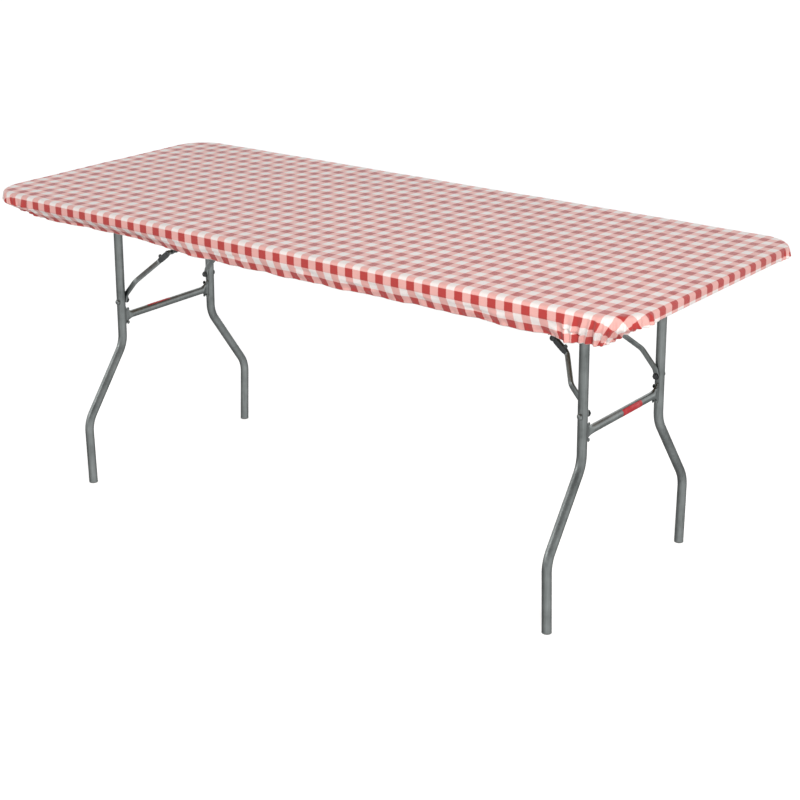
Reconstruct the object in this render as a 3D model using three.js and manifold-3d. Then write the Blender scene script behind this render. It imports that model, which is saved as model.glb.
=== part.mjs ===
// Folding banquet table, 72 x 30 x 30 inches, wearing a fitted gingham cover with an elastic hem.
// Millimetres. The origin is on the floor under the middle of the top.
// +X runs along the table, -Y is its front and +Z is up.
import * as THREE from "three";
import { mergeVertices } from "three/addons/utils/BufferGeometryUtils.js";
import Module from "manifold-3d";

const wasm = await Module();
wasm.setup();

// ---------------------------------------------------------------- driving dimensions

const TABLE_LENGTH = 1829;
const TABLE_WIDTH = 762;
const TABLE_HEIGHT = 762;
const CORNER_RADIUS = 88;
const GAP = 0.3;
const FACE_GAP = 0.4;
const OVERLAP = 1;

const PLYWOOD = 13;
const EDGE_STRIP = 3;
const EDGE_HEIGHT = 22;
const BATTEN_WIDTH = 40;
const GUARD_LEG = 105;

const CLOTH = 1.7;
const SKIRT_BOTTOM = 700;
const SKIRT_HALF_LENGTH = 826;
const LONG_LIP = 36;
const END_LIP = 35;
const ELASTIC = 2.4;
const ELASTIC_RAMP = 40;
const ELASTIC_BEND = 12;
const ELASTIC_JOIN = 1;

const LEG_TUBE = 22.2;
const LEG_WALL = 1.5;
const LEG_LEAN = THREE.MathUtils.degToRad(0.8);
const LEG_BEND_RADIUS = 75;
const LEG_UPPER_Y = 167;
const LEG_LOWER_Y = 300;
const FOOT_Y = 295;
const UPPER_BEND_Z = 350;
const LOWER_BEND_Z = 168;
const FOOT_GAP = 3;
const LEG_ABOVE_PIVOT = 16;
const GLIDE_RIM = LEG_TUBE / 2 + 0.2;
const GLIDE_PAD = 2.3;
const GLIDE_CHAMFER = 0.8;
const GLIDE_SPIGOT = 8.4;
const GLIDE_SPIGOT_TAPER = 0.4;
const GLIDE_HEIGHT = 16;

const PIVOT_X = 690;
const PIVOT_Z = 715;
const PIVOT_ROD = 12;
const PIVOT_ROD_OVERHANG = 22;
const PIVOT_HEAD = { radius: 8.5, length: 3 };
const CROSS_BAR = 19;
const CROSS_BAR_Z = 420;
const FISHTAIL_HALF_HEIGHT = 26;
const FISHTAIL_RADIUS = 9;

const BOLT = 8;
const BOLT_DROP = 253;
const BOLT_HEAD = { radius: 7, length: 4 };
const BOLT_NUT = { radius: 7, length: 5 };
const STRAP_WIDTH = 13;
const STRAP_THICK = 7;
const ARM_LEG_Y = 152;
const ARM_KNUCKLE_Y = 103.6;
const UPPER_ARM_Y = 94;
const ARM_BEND_RADIUS = 14;
const LOWER_ARM_KNEE = new THREE.Vector2(653, 519);
const LOWER_ARM_JOG = new THREE.Vector2(611, 569);
// The lower arm's first two points from its bolt, and its last from the knuckle.
const LOWER_ARM_FOOT = new THREE.Vector2(-1, 4);
const LOWER_ARM_RISE = new THREE.Vector2(-5, 17);
const LOWER_ARM_END = new THREE.Vector2(3, -2.5);
const KNUCKLE = new THREE.Vector2(576, 597);
const KNUCKLE_PIN = 7;
const RIVET_HEAD = { radius: 6.5, length: 3 };
const ANCHOR = new THREE.Vector2(364, 732);
const ANCHOR_ROD = 8;
const ANCHOR_ROD_OVERHANG = 8;
const ANCHOR_HEAD = { radius: 6.5, length: 2.5 };
const LOCK_START = 15;
const LOCK_LENGTH = 28;
const LOCK_CLEARANCE = 0.4;
const LOCK_WALL = 1.6;
const LOCK_CORNER = 3;

const LABEL_START_Y = -8;
const LABEL_END_Y = 74;
const LABEL_GAP = 0.15;
const LABEL_THICK = 0.4;
const LABEL_TURN = 0.5;

const HALF_LENGTH = TABLE_LENGTH / 2;
const HALF_WIDTH = TABLE_WIDTH / 2;
const PLY_BOTTOM = TABLE_HEIGHT - PLYWOOD;
const EDGE_BOTTOM = TABLE_HEIGHT - EDGE_HEIGHT;
const LEG_INNER_Y = LEG_UPPER_Y - LEG_TUBE / 2;
const LEG_OUTER_Y = LEG_UPPER_Y + LEG_TUBE / 2;
const RIGHT = 1;
const LEFT = -1;
const FRONT = -1;
const BACK = 1;
const ENDS = { right: RIGHT, left: LEFT };
const SIDES = { front: FRONT, back: BACK };

// ---------------------------------------------------------------- finishes

function finish(color, roughness, metalness) {
  return new THREE.MeshStandardMaterial({ color, roughness, metalness });
}

const finishes = {
  gingham: finish(0xe8b4b0, 0.75, 0),
  elastic: finish(0xf2efe9, 0.85, 0),
  plywood: finish(0xc9a877, 0.6, 0),
  batten: finish(0xb8925f, 0.7, 0),
  edging: finish(0x3b3a38, 0.5, 0),
  zinc: finish(0xa6abaa, 0.35, 0.9),
  zincDark: finish(0x55595a, 0.45, 0.85),
  glide: finish(0x8d9090, 0.5, 0),
  sticker: finish(0xc4343f, 0.5, 0),
};

const table = new THREE.Group();

function addPart(parent, name, geometry, material) {
  const mesh = new THREE.Mesh(geometry, material);
  mesh.name = name;
  parent.add(mesh);
  return mesh;
}

// ---------------------------------------------------------------- solid tools

function toSolid(geometry) {
  const plain = geometry.index ? geometry.toNonIndexed() : geometry.clone();
  plain.deleteAttribute("normal");
  plain.deleteAttribute("uv");
  const merged = mergeVertices(plain, 1e-4);
  const vertProperties = Float32Array.from(merged.attributes.position.array);
  const triVerts = Uint32Array.from(merged.index.array);
  return new wasm.Manifold(new wasm.Mesh({ numProp: 3, vertProperties, triVerts }));
}

function toGeometry(solid) {
  const mesh = solid.getMesh();
  const geometry = new THREE.BufferGeometry();
  geometry.setAttribute("position", new THREE.BufferAttribute(mesh.vertProperties, 3));
  geometry.setIndex(new THREE.BufferAttribute(mesh.triVerts, 1));
  geometry.computeVertexNormals();
  return geometry;
}

function join(...geometries) {
  return toGeometry(geometries.map(toSolid).reduce((whole, piece) => whole.add(piece)));
}

function cut(geometry, ...tools) {
  return toGeometry(tools.map(toSolid).reduce((whole, tool) => whole.subtract(tool), toSolid(geometry)));
}

function box(x0, x1, y0, y1, z0, z1) {
  const size = [Math.abs(x1 - x0), Math.abs(y1 - y0), Math.abs(z1 - z0)];
  return new THREE.BoxGeometry(...size).translate((x0 + x1) / 2, (y0 + y1) / 2, (z0 + z1) / 2);
}

// A round bar along Y from y0 to y1, through the point (x, z).
function barAlongY(radius, y0, y1, x, z, sides = 12) {
  const bar = new THREE.CylinderGeometry(radius, radius, Math.abs(y1 - y0), sides);
  return bar.translate(x, (y0 + y1) / 2, z);
}

function roundedRectangle(halfX, halfY, radius, Outline = THREE.Shape) {
  const outline = new Outline();
  outline.moveTo(halfX, -halfY + radius);
  outline.absarc(halfX - radius, halfY - radius, radius, 0, Math.PI / 2);
  outline.absarc(-halfX + radius, halfY - radius, radius, Math.PI / 2, Math.PI);
  outline.absarc(-halfX + radius, -halfY + radius, radius, Math.PI, 1.5 * Math.PI);
  outline.absarc(halfX - radius, -halfY + radius, radius, 1.5 * Math.PI, 2 * Math.PI);
  return outline;
}

function extrudeUp(shape, z0, z1, curveSegments = 6) {
  const options = { depth: z1 - z0, bevelEnabled: false, curveSegments };
  return new THREE.ExtrudeGeometry(shape, options).translate(0, 0, z0);
}

// A plate across Y whose outline is drawn as (x, z), from y0 to y1.
function plateAcrossY(shape, y0, y1, curveSegments = 4) {
  const options = { depth: Math.abs(y1 - y0), bevelEnabled: false, curveSegments };
  const plate = new THREE.ExtrudeGeometry(shape, options);
  return plate.rotateX(Math.PI / 2).translate(0, Math.max(y0, y1), 0);
}

// A centre line through stations, with its section kept upright against the Y axis.
class Centreline extends THREE.Curve {
  constructor(stations, sectionAxis = new THREE.Vector3(0, 1, 0)) {
    super();
    this.stations = stations;
    this.sectionAxis = sectionAxis;
  }

  getPoint(t) {
    const place = t * (this.stations.length - 1);
    const index = Math.min(Math.floor(place), this.stations.length - 2);
    return this.stations[index].clone().lerp(this.stations[index + 1], place - index);
  }

  getPointAt(u) {
    return this.getPoint(u);
  }

  computeFrenetFrames(segments) {
    const frames = { tangents: [], normals: [], binormals: [] };
    for (let i = 0; i <= segments; i++) {
      const before = this.stations[Math.max(i - 1, 0)];
      const after = this.stations[Math.min(i + 1, segments)];
      const here = this.stations[i];
      const tangent = new THREE.Vector3();
      if (i > 0) tangent.add(here.clone().sub(before).normalize());
      if (i < segments) tangent.add(after.clone().sub(here).normalize());
      tangent.normalize();
      const normal = this.sectionAxis.clone().cross(tangent).normalize();
      frames.tangents.push(tangent);
      frames.normals.push(normal);
      frames.binormals.push(tangent.clone().cross(normal));
    }
    return frames;
  }
}

// Corner points joined by straight runs, each inner corner rounded by an arc of arcSteps steps.
function bentPath(corners, bendRadius, arcSteps) {
  const stations = [corners[0]];
  for (let i = 1; i < corners.length - 1; i++) {
    const into = corners[i].clone().sub(corners[i - 1]).normalize();
    const out = corners[i + 1].clone().sub(corners[i]).normalize();
    const turn = into.angleTo(out);
    const setback = bendRadius * Math.tan(turn / 2);
    const start = corners[i].clone().addScaledVector(into, -setback);
    const sideways = out.clone().addScaledVector(into, -out.dot(into)).normalize();
    for (let k = 0; k <= arcSteps; k++) {
      const angle = (turn * k) / arcSteps;
      const along = bendRadius * Math.sin(angle);
      const aside = bendRadius * (1 - Math.cos(angle));
      stations.push(start.clone().addScaledVector(into, along).addScaledVector(sideways, aside));
    }
  }
  stations.push(corners.at(-1));
  return stations;
}

function sweep(section, stations, sectionAxis) {
  const extrudePath = new Centreline(stations, sectionAxis);
  const options = { steps: stations.length - 1, extrudePath, curveSegments: 3 };
  return new THREE.ExtrudeGeometry(section, options);
}

function circle(radius, sides, Outline = THREE.Shape) {
  const outline = new Outline();
  for (let i = 0; i < sides; i++) {
    const angle = (2 * Math.PI * i) / sides;
    const step = i === 0 ? "moveTo" : "lineTo";
    outline[step](radius * Math.cos(angle), radius * Math.sin(angle));
  }
  outline.closePath();
  return outline;
}

function tubeSection(radius, wall, sides) {
  const section = circle(radius, sides);
  section.holes.push(circle(radius - wall, sides, THREE.Path));
  return section;
}

// A long slot shape from one (x, z) point to another, round at both ends.
function slotShape(from, to, radius) {
  const angle = Math.atan2(to.y - from.y, to.x - from.x);
  const shape = new THREE.Shape();
  shape.absarc(from.x, from.y, radius, angle + Math.PI / 2, angle + 1.5 * Math.PI);
  shape.absarc(to.x, to.y, radius, angle - Math.PI / 2, angle + Math.PI / 2);
  return shape;
}

// ---------------------------------------------------------------- table top

function addTop() {
  const inset = EDGE_STRIP + GAP;
  const panelX = HALF_LENGTH - inset;
  const panelY = HALF_WIDTH - inset;
  const panel = roundedRectangle(panelX, panelY, CORNER_RADIUS - inset);
  addPart(table, "tabletop_panel", extrudeUp(panel, PLY_BOTTOM, TABLE_HEIGHT), finishes.plywood);

  const stripX = HALF_LENGTH - GUARD_LEG - GAP;
  const stripY = HALF_WIDTH - GUARD_LEG - GAP;
  const battenTop = PLY_BOTTOM - GAP;
  for (const [side, sy] of Object.entries(SIDES)) {
    const outer = sy * HALF_WIDTH;
    const strip = box(-stripX, stripX, outer, outer - sy * EDGE_STRIP, EDGE_BOTTOM, TABLE_HEIGHT);
    addPart(table, `edge_strip_${side}`, strip, finishes.edging);
    const y = sy * panelY;
    const reach = panelX - CORNER_RADIUS;
    const batten = box(-reach, reach, y, y - sy * BATTEN_WIDTH, EDGE_BOTTOM, battenTop);
    addPart(table, `edge_batten_${side}`, batten, finishes.batten);
  }
  for (const [end, sx] of Object.entries(ENDS)) {
    const outer = sx * HALF_LENGTH;
    const strip = box(outer, outer - sx * EDGE_STRIP, -stripY, stripY, EDGE_BOTTOM, TABLE_HEIGHT);
    addPart(table, `edge_strip_${end}`, strip, finishes.edging);
    const x = sx * panelX;
    const reach = panelY - CORNER_RADIUS;
    const batten = box(x, x - sx * BATTEN_WIDTH, -reach, reach, EDGE_BOTTOM, battenTop);
    addPart(table, `edge_batten_${end}`, batten, finishes.batten);
    for (const [side, sy] of Object.entries(SIDES)) {
      addPart(table, `corner_guard_${end}_${side}`, cornerGuard(sx, sy), finishes.edging);
    }
  }
}

function cornerGuard(sx, sy) {
  const rim = roundedRectangle(HALF_LENGTH, HALF_WIDTH, CORNER_RADIUS);
  const inner = [HALF_LENGTH - EDGE_STRIP, HALF_WIDTH - EDGE_STRIP, CORNER_RADIUS - EDGE_STRIP];
  rim.holes.push(roundedRectangle(...inner, THREE.Path));
  const ring = toSolid(extrudeUp(rim, EDGE_BOTTOM, TABLE_HEIGHT));
  const far = [sx * (HALF_LENGTH + OVERLAP), sy * (HALF_WIDTH + OVERLAP)];
  const near = [sx * (HALF_LENGTH - GUARD_LEG), sy * (HALF_WIDTH - GUARD_LEG)];
  const heights = [EDGE_BOTTOM - OVERLAP, TABLE_HEIGHT + OVERLAP];
  const corner = box(near[0], far[0], near[1], far[1], ...heights);
  return toGeometry(ring.intersect(toSolid(corner)));
}

// ---------------------------------------------------------------- cloth cover

// One sheet: flat on top, folded down all round. It wraps tight under the two ends and hangs as a
// short skirt on the two long sides, and its edge turns in all the way round.
function addCover() {
  const outerX = HALF_LENGTH + GAP + CLOTH;
  const outerY = HALF_WIDTH + GAP + CLOTH;
  const outerRadius = CORNER_RADIUS + GAP + CLOTH;
  const clothTop = TABLE_HEIGHT + GAP + CLOTH;
  const wrapTop = EDGE_BOTTOM - GAP;
  const wrapBottom = wrapTop - CLOTH;

  const cap = extrudeUp(roundedRectangle(outerX, outerY, outerRadius), wrapBottom, clothTop);
  const inner = roundedRectangle(outerX - CLOTH, outerY - CLOTH, outerRadius - CLOTH);
  const room = extrudeUp(inner, wrapTop, TABLE_HEIGHT + GAP);
  const mouthX = outerX - END_LIP;
  const mouthY = outerY - END_LIP;
  const bottomCut = [wrapBottom - OVERLAP, wrapTop + OVERLAP];
  const mouth = box(-mouthX, mouthX, -mouthY, mouthY, ...bottomCut);
  const openX = SKIRT_HALF_LENGTH;
  const openY = outerY - CLOTH;
  const open = box(-openX, openX, -openY, openY, ...bottomCut);

  let solid = toSolid(cap).subtract(toSolid(room)).subtract(toSolid(mouth)).subtract(toSolid(open));
  for (const sy of [FRONT, BACK]) {
    const face = sy * outerY;
    const wall = box(-openX, openX, face, face - sy * CLOTH, SKIRT_BOTTOM, wrapTop + OVERLAP);
    const lip = box(-openX, openX, face, face - sy * LONG_LIP, SKIRT_BOTTOM, SKIRT_BOTTOM + CLOTH);
    solid = solid.add(toSolid(wall)).add(toSolid(lip));
  }
  addPart(table, "gingham_cover", toGeometry(solid), finishes.gingham);

  const lipX = mouthX - GAP - ELASTIC / 2;
  const lipY = outerY - LONG_LIP - GAP - ELASTIC / 2;
  const low = SKIRT_BOTTOM + CLOTH / 2;
  const high = (wrapTop + wrapBottom) / 2 - GAP;
  const rampX = SKIRT_HALF_LENGTH - ELASTIC_RAMP;
  const cord = [new THREE.Vector3(-ELASTIC_JOIN, lipY, low)];
  cord.push(new THREE.Vector3(-rampX, lipY, low), new THREE.Vector3(-lipX, lipY, high));
  cord.push(new THREE.Vector3(-lipX, -lipY, high), new THREE.Vector3(-rampX, -lipY, low));
  cord.push(new THREE.Vector3(rampX, -lipY, low), new THREE.Vector3(lipX, -lipY, high));
  cord.push(new THREE.Vector3(lipX, lipY, high), new THREE.Vector3(rampX, lipY, low));
  cord.push(new THREE.Vector3(ELASTIC_JOIN, lipY, low));
  const elastic = sweep(circle(ELASTIC / 2, 8), bentPath(cord, ELASTIC_BEND, 2), new THREE.Vector3(0, 0, 1));
  addPart(table, "hem_elastic", elastic, finishes.elastic);
}

// ---------------------------------------------------------------- fittings under the top

const SHEET = 2.5;
const BRACKET_LENGTH = 60;
const BRACKET_EAR_GAP = 16.5;
const BRACKET_EAR_RADIUS = 14;
const ANCHOR_RAIL_HALF_WIDTH = 16;
const ANCHOR_RAIL_REACH = 112;
const ANCHOR_EAR_RADIUS = 7;
const ANCHOR_EAR_CLEARANCE = 0.7;

// A saddle screwed under the top. Its two ears carry the pivot rod either side of one leg.
function legBracket(sx, sy) {
  const x = sx * PIVOT_X;
  const y = sy * LEG_UPPER_Y;
  const top = PLY_BOTTOM - GAP;
  const half = BRACKET_LENGTH / 2;
  const reach = BRACKET_EAR_GAP + SHEET;
  const root = new THREE.Vector2(x, top - BRACKET_EAR_RADIUS);
  const ear = slotShape(new THREE.Vector2(x, PIVOT_Z), root, BRACKET_EAR_RADIUS);
  const base = box(x - half, x + half, y - reach, y + reach, top - SHEET, top);
  const nearEar = plateAcrossY(ear, y - reach, y - BRACKET_EAR_GAP);
  const farEar = plateAcrossY(ear, y + BRACKET_EAR_GAP, y + reach);
  const bore = barAlongY(PIVOT_ROD / 2 + GAP, y - 2 * reach, y + 2 * reach, x, PIVOT_Z);
  return cut(join(base, nearEar, farEar), bore);
}

// A cross rail screwed under the top, with an ear either side of each upper brace arm.
function braceAnchor(sx) {
  const x = sx * ANCHOR.x;
  const top = PLY_BOTTOM - GAP;
  const half = ANCHOR_RAIL_HALF_WIDTH;
  const earReach = STRAP_THICK / 2 + ANCHOR_EAR_CLEARANCE;
  const base = box(x - half, x + half, -ANCHOR_RAIL_REACH, ANCHOR_RAIL_REACH, top - SHEET, top);
  const root = new THREE.Vector2(x, top - ANCHOR_EAR_RADIUS);
  const ear = slotShape(new THREE.Vector2(x, ANCHOR.y), root, ANCHOR_EAR_RADIUS);
  const pieces = [base];
  for (const sy of [FRONT, BACK]) {
    for (const face of [-1, 1]) {
      const start = sy * UPPER_ARM_Y + face * earReach;
      pieces.push(plateAcrossY(ear, start, start + face * SHEET));
    }
  }
  const boreReach = ANCHOR_RAIL_REACH + SHEET;
  return cut(join(...pieces), barAlongY(ANCHOR_ROD / 2 + GAP, -boreReach, boreReach, x, ANCHOR.y));
}

function headedRod(radius, head, halfLength, x, z) {
  const shank = barAlongY(radius, -halfLength, halfLength, x, z);
  const front = barAlongY(head.radius, -halfLength, -halfLength - head.length, x, z);
  const back = barAlongY(head.radius, halfLength, halfLength + head.length, x, z);
  return join(shank, front, back);
}

// ---------------------------------------------------------------- leg pair

// Built about its own pivot: the pair hangs down -Z and then leans out a little.
function addLegPair(end, sx) {
  const pair = new THREE.Group();
  pair.position.set(sx * PIVOT_X, 0, PIVOT_Z);
  pair.rotation.y = -sx * LEG_LEAN;
  table.add(pair);

  const radius = LEG_TUBE / 2;
  const barZ = CROSS_BAR_Z - PIVOT_Z;
  for (const [side, sy] of Object.entries(SIDES)) {
    const corners = [
      new THREE.Vector3(0, sy * LEG_UPPER_Y, LEG_ABOVE_PIVOT),
      new THREE.Vector3(0, sy * LEG_UPPER_Y, UPPER_BEND_Z - PIVOT_Z),
      new THREE.Vector3(0, sy * LEG_LOWER_Y, LOWER_BEND_Z - PIVOT_Z),
      new THREE.Vector3(0, sy * FOOT_Y, FOOT_GAP - PIVOT_Z),
    ];
    const stations = bentPath(corners, LEG_BEND_RADIUS, 3);
    const tube = sweep(tubeSection(radius, LEG_WALL, 12), stations, new THREE.Vector3(1, 0, 0));
    const across = sy * LEG_UPPER_Y;
    const near = across - LEG_TUBE;
    const far = across + LEG_TUBE;
    const rodBore = barAlongY(PIVOT_ROD / 2 + GAP, near, far, 0, 0);
    const boltBore = barAlongY(BOLT / 2 + GAP, near, far, 0, -BOLT_DROP);
    addPart(pair, `${end}_leg_${side}`, cut(tube, rodBore, boltBore), finishes.zinc);
    addPart(pair, `${end}_brace_bolt_${side}`, braceBolt(sy), finishes.zinc);
  }

  const rod = headedRod(PIVOT_ROD / 2, PIVOT_HEAD, LEG_UPPER_Y + PIVOT_ROD_OVERHANG, 0, 0);
  addPart(pair, `${end}_pivot_rod`, rod, finishes.zinc);
  addPart(pair, `${end}_cross_bar`, crossBar(barZ), finishes.zinc);
  addPart(pair, `${end}_bar_sticker`, barSticker(sx, barZ), finishes.sticker);
}

// Head outside the leg, shank through the leg and the brace arm, nut on the inside.
function braceBolt(sy) {
  const nutFace = sy * (ARM_LEG_Y - STRAP_THICK / 2 - GAP);
  const headFace = sy * (LEG_OUTER_Y + FACE_GAP);
  const ends = [nutFace - sy * OVERLAP, headFace + sy * OVERLAP];
  const shank = barAlongY(BOLT / 2, ...ends, 0, -BOLT_DROP);
  const nutEnd = nutFace - sy * BOLT_NUT.length;
  const nut = barAlongY(BOLT_NUT.radius, nutFace, nutEnd, 0, -BOLT_DROP, 6);
  const headEnd = headFace + sy * BOLT_HEAD.length;
  const head = barAlongY(BOLT_HEAD.radius, headFace, headEnd, 0, -BOLT_DROP);
  return join(shank, nut, head);
}

// A tube between the legs whose ends are pressed flat into upright fishtails against the legs.
function crossBar(z) {
  const reach = FISHTAIL_HALF_HEIGHT - FISHTAIL_RADIUS;
  const face = LEG_INNER_Y - FACE_GAP;
  const pieces = [barAlongY(CROSS_BAR / 2, -face, face, 0, z)];
  for (const sy of [FRONT, BACK]) {
    const upper = new THREE.Vector2(0, z + reach);
    const lower = new THREE.Vector2(0, z - reach);
    const tail = slotShape(lower, upper, FISHTAIL_RADIUS);
    pieces.push(plateAcrossY(tail, sy * face, sy * (face - SHEET)));
  }
  return cut(join(...pieces), barAlongY(CROSS_BAR / 2 - LEG_WALL, -LEG_UPPER_Y, LEG_UPPER_Y, 0, z));
}

// A curved label wrapped round the outer half of the bar.
function barSticker(sx, z) {
  const inner = CROSS_BAR / 2 + LABEL_GAP;
  const outer = inner + LABEL_THICK;
  const start = -sx * (Math.PI / 2) - LABEL_TURN;
  const patch = new THREE.Shape();
  patch.absarc(0, z, outer, start, start + Math.PI, false);
  patch.absarc(0, z, inner, start + Math.PI, start, true);
  return plateAcrossY(patch, sx * LABEL_START_Y, sx * LABEL_END_Y, 6);
}

// Plastic glide: a flat pad on the floor with a spigot up inside the leg tube.
function footGlide(sx, sy) {
  const profile = [
    new THREE.Vector2(0, 0),
    new THREE.Vector2(GLIDE_RIM - GLIDE_CHAMFER, 0),
    new THREE.Vector2(GLIDE_RIM, GLIDE_CHAMFER),
    new THREE.Vector2(GLIDE_RIM, GLIDE_PAD),
    new THREE.Vector2(GLIDE_SPIGOT, GLIDE_PAD),
    new THREE.Vector2(GLIDE_SPIGOT - GLIDE_SPIGOT_TAPER, GLIDE_HEIGHT),
    new THREE.Vector2(0, GLIDE_HEIGHT),
  ];
  const glide = new THREE.LatheGeometry(profile, 16).rotateX(Math.PI / 2);
  return glide.translate(sx * (PIVOT_X + PIVOT_Z * Math.tan(LEG_LEAN)), sy * FOOT_Y, 0);
}

// ---------------------------------------------------------------- folding braces

function strapSection() {
  const half = STRAP_THICK / 2;
  const flat = STRAP_WIDTH / 2 - half;
  const section = new THREE.Shape();
  section.absarc(flat, 0, half, -Math.PI / 2, Math.PI / 2);
  section.absarc(-flat, 0, half, Math.PI / 2, 1.5 * Math.PI);
  return section;
}

function boltPlace() {
  const x = PIVOT_X + BOLT_DROP * Math.sin(LEG_LEAN);
  const z = PIVOT_Z - BOLT_DROP * Math.cos(LEG_LEAN);
  return new THREE.Vector2(x, z);
}

// From the leg bolt up beside the leg, then leaning in both ways to the knuckle.
function lowerArm(sx, sy) {
  const bolt = boltPlace();
  const place = (point, y) => new THREE.Vector3(sx * point.x, sy * y, point.y);
  const corners = [
    place(bolt.clone().add(LOWER_ARM_FOOT), ARM_LEG_Y),
    place(bolt.clone().add(LOWER_ARM_RISE), ARM_LEG_Y),
    place(LOWER_ARM_KNEE, ARM_LEG_Y),
    place(LOWER_ARM_JOG, ARM_KNUCKLE_Y),
    place(KNUCKLE.clone().add(LOWER_ARM_END), ARM_KNUCKLE_Y),
  ];
  const strap = sweep(strapSection(), bentPath(corners, ARM_BEND_RADIUS, 2));
  const half = STRAP_THICK / 2;
  const lug = STRAP_WIDTH / 2;
  const boltEnd = barAlongY(lug, sy * (ARM_LEG_Y - half), sy * (ARM_LEG_Y + half), sx * bolt.x, bolt.y);
  const ends = [sy * (ARM_KNUCKLE_Y - half), sy * (ARM_KNUCKLE_Y + half)];
  const knuckleEnd = barAlongY(lug, ...ends, sx * KNUCKLE.x, KNUCKLE.y);
  const through = (y) => [sy * (y - STRAP_WIDTH), sy * (y + STRAP_WIDTH)];
  const boltBore = barAlongY(BOLT / 2 + GAP, ...through(ARM_LEG_Y), sx * bolt.x, bolt.y);
  const pinRadius = KNUCKLE_PIN / 2 + GAP;
  const rivetBore = barAlongY(pinRadius, ...through(ARM_KNUCKLE_Y), sx * KNUCKLE.x, KNUCKLE.y);
  return cut(join(strap, boltEnd, knuckleEnd), boltBore, rivetBore);
}

function upperArm(sx, sy) {
  const place = (x, z) => new THREE.Vector3(sx * x, sy * UPPER_ARM_Y, z);
  const strap = sweep(strapSection(), [place(KNUCKLE.x, KNUCKLE.y), place(ANCHOR.x, ANCHOR.y)]);
  const half = STRAP_THICK / 2;
  const faces = [sy * (UPPER_ARM_Y - half), sy * (UPPER_ARM_Y + half)];
  const knuckleEnd = barAlongY(STRAP_WIDTH / 2, ...faces, sx * KNUCKLE.x, KNUCKLE.y);
  const anchorEnd = barAlongY(STRAP_WIDTH / 2, ...faces, sx * ANCHOR.x, ANCHOR.y);
  const through = [sy * (UPPER_ARM_Y - STRAP_WIDTH), sy * (UPPER_ARM_Y + STRAP_WIDTH)];
  const bore = barAlongY(ANCHOR_ROD / 2 + GAP, ...through, sx * ANCHOR.x, ANCHOR.y);
  return cut(join(strap, knuckleEnd, anchorEnd), bore);
}

function knuckleRivet(sx, sy) {
  const inner = ARM_KNUCKLE_Y - STRAP_THICK / 2;
  const outer = ARM_KNUCKLE_Y + STRAP_THICK / 2 + GAP;
  const centre = [sx * KNUCKLE.x, KNUCKLE.y];
  const shank = barAlongY(KNUCKLE_PIN / 2, sy * inner, sy * (outer + OVERLAP), ...centre);
  const headEnd = outer + RIVET_HEAD.length;
  const head = barAlongY(RIVET_HEAD.radius, sy * outer, sy * headEnd, ...centre);
  return join(shank, head);
}

// A sleeve that rests just above the knuckle and slides up the upper arm.
function lockSleeve(sx, sy) {
  const slope = ANCHOR.clone().sub(KNUCKLE).normalize();
  const place = (distance) => {
    const point = KNUCKLE.clone().addScaledVector(slope, distance);
    return new THREE.Vector3(sx * point.x, sy * UPPER_ARM_Y, point.y);
  };
  const innerX = STRAP_WIDTH / 2 + LOCK_CLEARANCE;
  const innerY = STRAP_THICK / 2 + LOCK_CLEARANCE;
  const section = roundedRectangle(innerX + LOCK_WALL, innerY + LOCK_WALL, LOCK_CORNER);
  section.holes.push(roundedRectangle(innerX, innerY, LOCK_CORNER - LOCK_WALL, THREE.Path));
  return sweep(section, [place(LOCK_START), place(LOCK_START + LOCK_LENGTH)]);
}

// ---------------------------------------------------------------- assembly

addTop();
addCover();
for (const [end, sx] of Object.entries(ENDS)) {
  for (const [side, sy] of Object.entries(SIDES)) {
    addPart(table, `${end}_leg_bracket_${side}`, legBracket(sx, sy), finishes.zinc);
    addPart(table, `${end}_foot_glide_${side}`, footGlide(sx, sy), finishes.glide);
    addPart(table, `${end}_lower_arm_${side}`, lowerArm(sx, sy), finishes.zinc);
    addPart(table, `${end}_upper_arm_${side}`, upperArm(sx, sy), finishes.zinc);
    addPart(table, `${end}_knuckle_rivet_${side}`, knuckleRivet(sx, sy), finishes.zincDark);
    addPart(table, `${end}_lock_sleeve_${side}`, lockSleeve(sx, sy), finishes.zincDark);
  }
  addPart(table, `${end}_brace_anchor`, braceAnchor(sx), finishes.zinc);
  const reach = UPPER_ARM_Y + ANCHOR_ROD_OVERHANG;
  const rod = headedRod(ANCHOR_ROD / 2, ANCHOR_HEAD, reach, sx * ANCHOR.x, ANCHOR.y);
  addPart(table, `${end}_anchor_rod`, rod, finishes.zinc);
  addLegPair(end, sx);
}

export default table;
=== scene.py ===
"""The looks of a folding banquet table under a fitted gingham cover. Metres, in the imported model's frame."""

import itertools
import math

import bmesh
import bpy
import numpy as np
from mathutils import Matrix, Vector


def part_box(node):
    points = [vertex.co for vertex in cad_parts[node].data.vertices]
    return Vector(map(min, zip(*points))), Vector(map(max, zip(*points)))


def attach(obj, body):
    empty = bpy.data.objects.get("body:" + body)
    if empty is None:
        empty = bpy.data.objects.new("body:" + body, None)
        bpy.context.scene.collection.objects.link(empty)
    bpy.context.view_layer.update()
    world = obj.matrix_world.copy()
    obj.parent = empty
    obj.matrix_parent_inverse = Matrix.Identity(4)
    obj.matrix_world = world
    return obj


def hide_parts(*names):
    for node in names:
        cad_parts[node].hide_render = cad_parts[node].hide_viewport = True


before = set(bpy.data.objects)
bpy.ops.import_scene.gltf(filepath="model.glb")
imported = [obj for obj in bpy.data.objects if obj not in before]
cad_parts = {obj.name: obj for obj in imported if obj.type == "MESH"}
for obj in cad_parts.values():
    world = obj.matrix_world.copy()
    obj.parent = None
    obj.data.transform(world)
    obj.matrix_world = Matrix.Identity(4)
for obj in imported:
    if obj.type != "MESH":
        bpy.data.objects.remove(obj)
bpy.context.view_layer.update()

ENDS = {"right": 1, "left": -1}
SIDES = {"front": -1, "back": 1}
AXIS_X = Vector((1, 0, 0))
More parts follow.
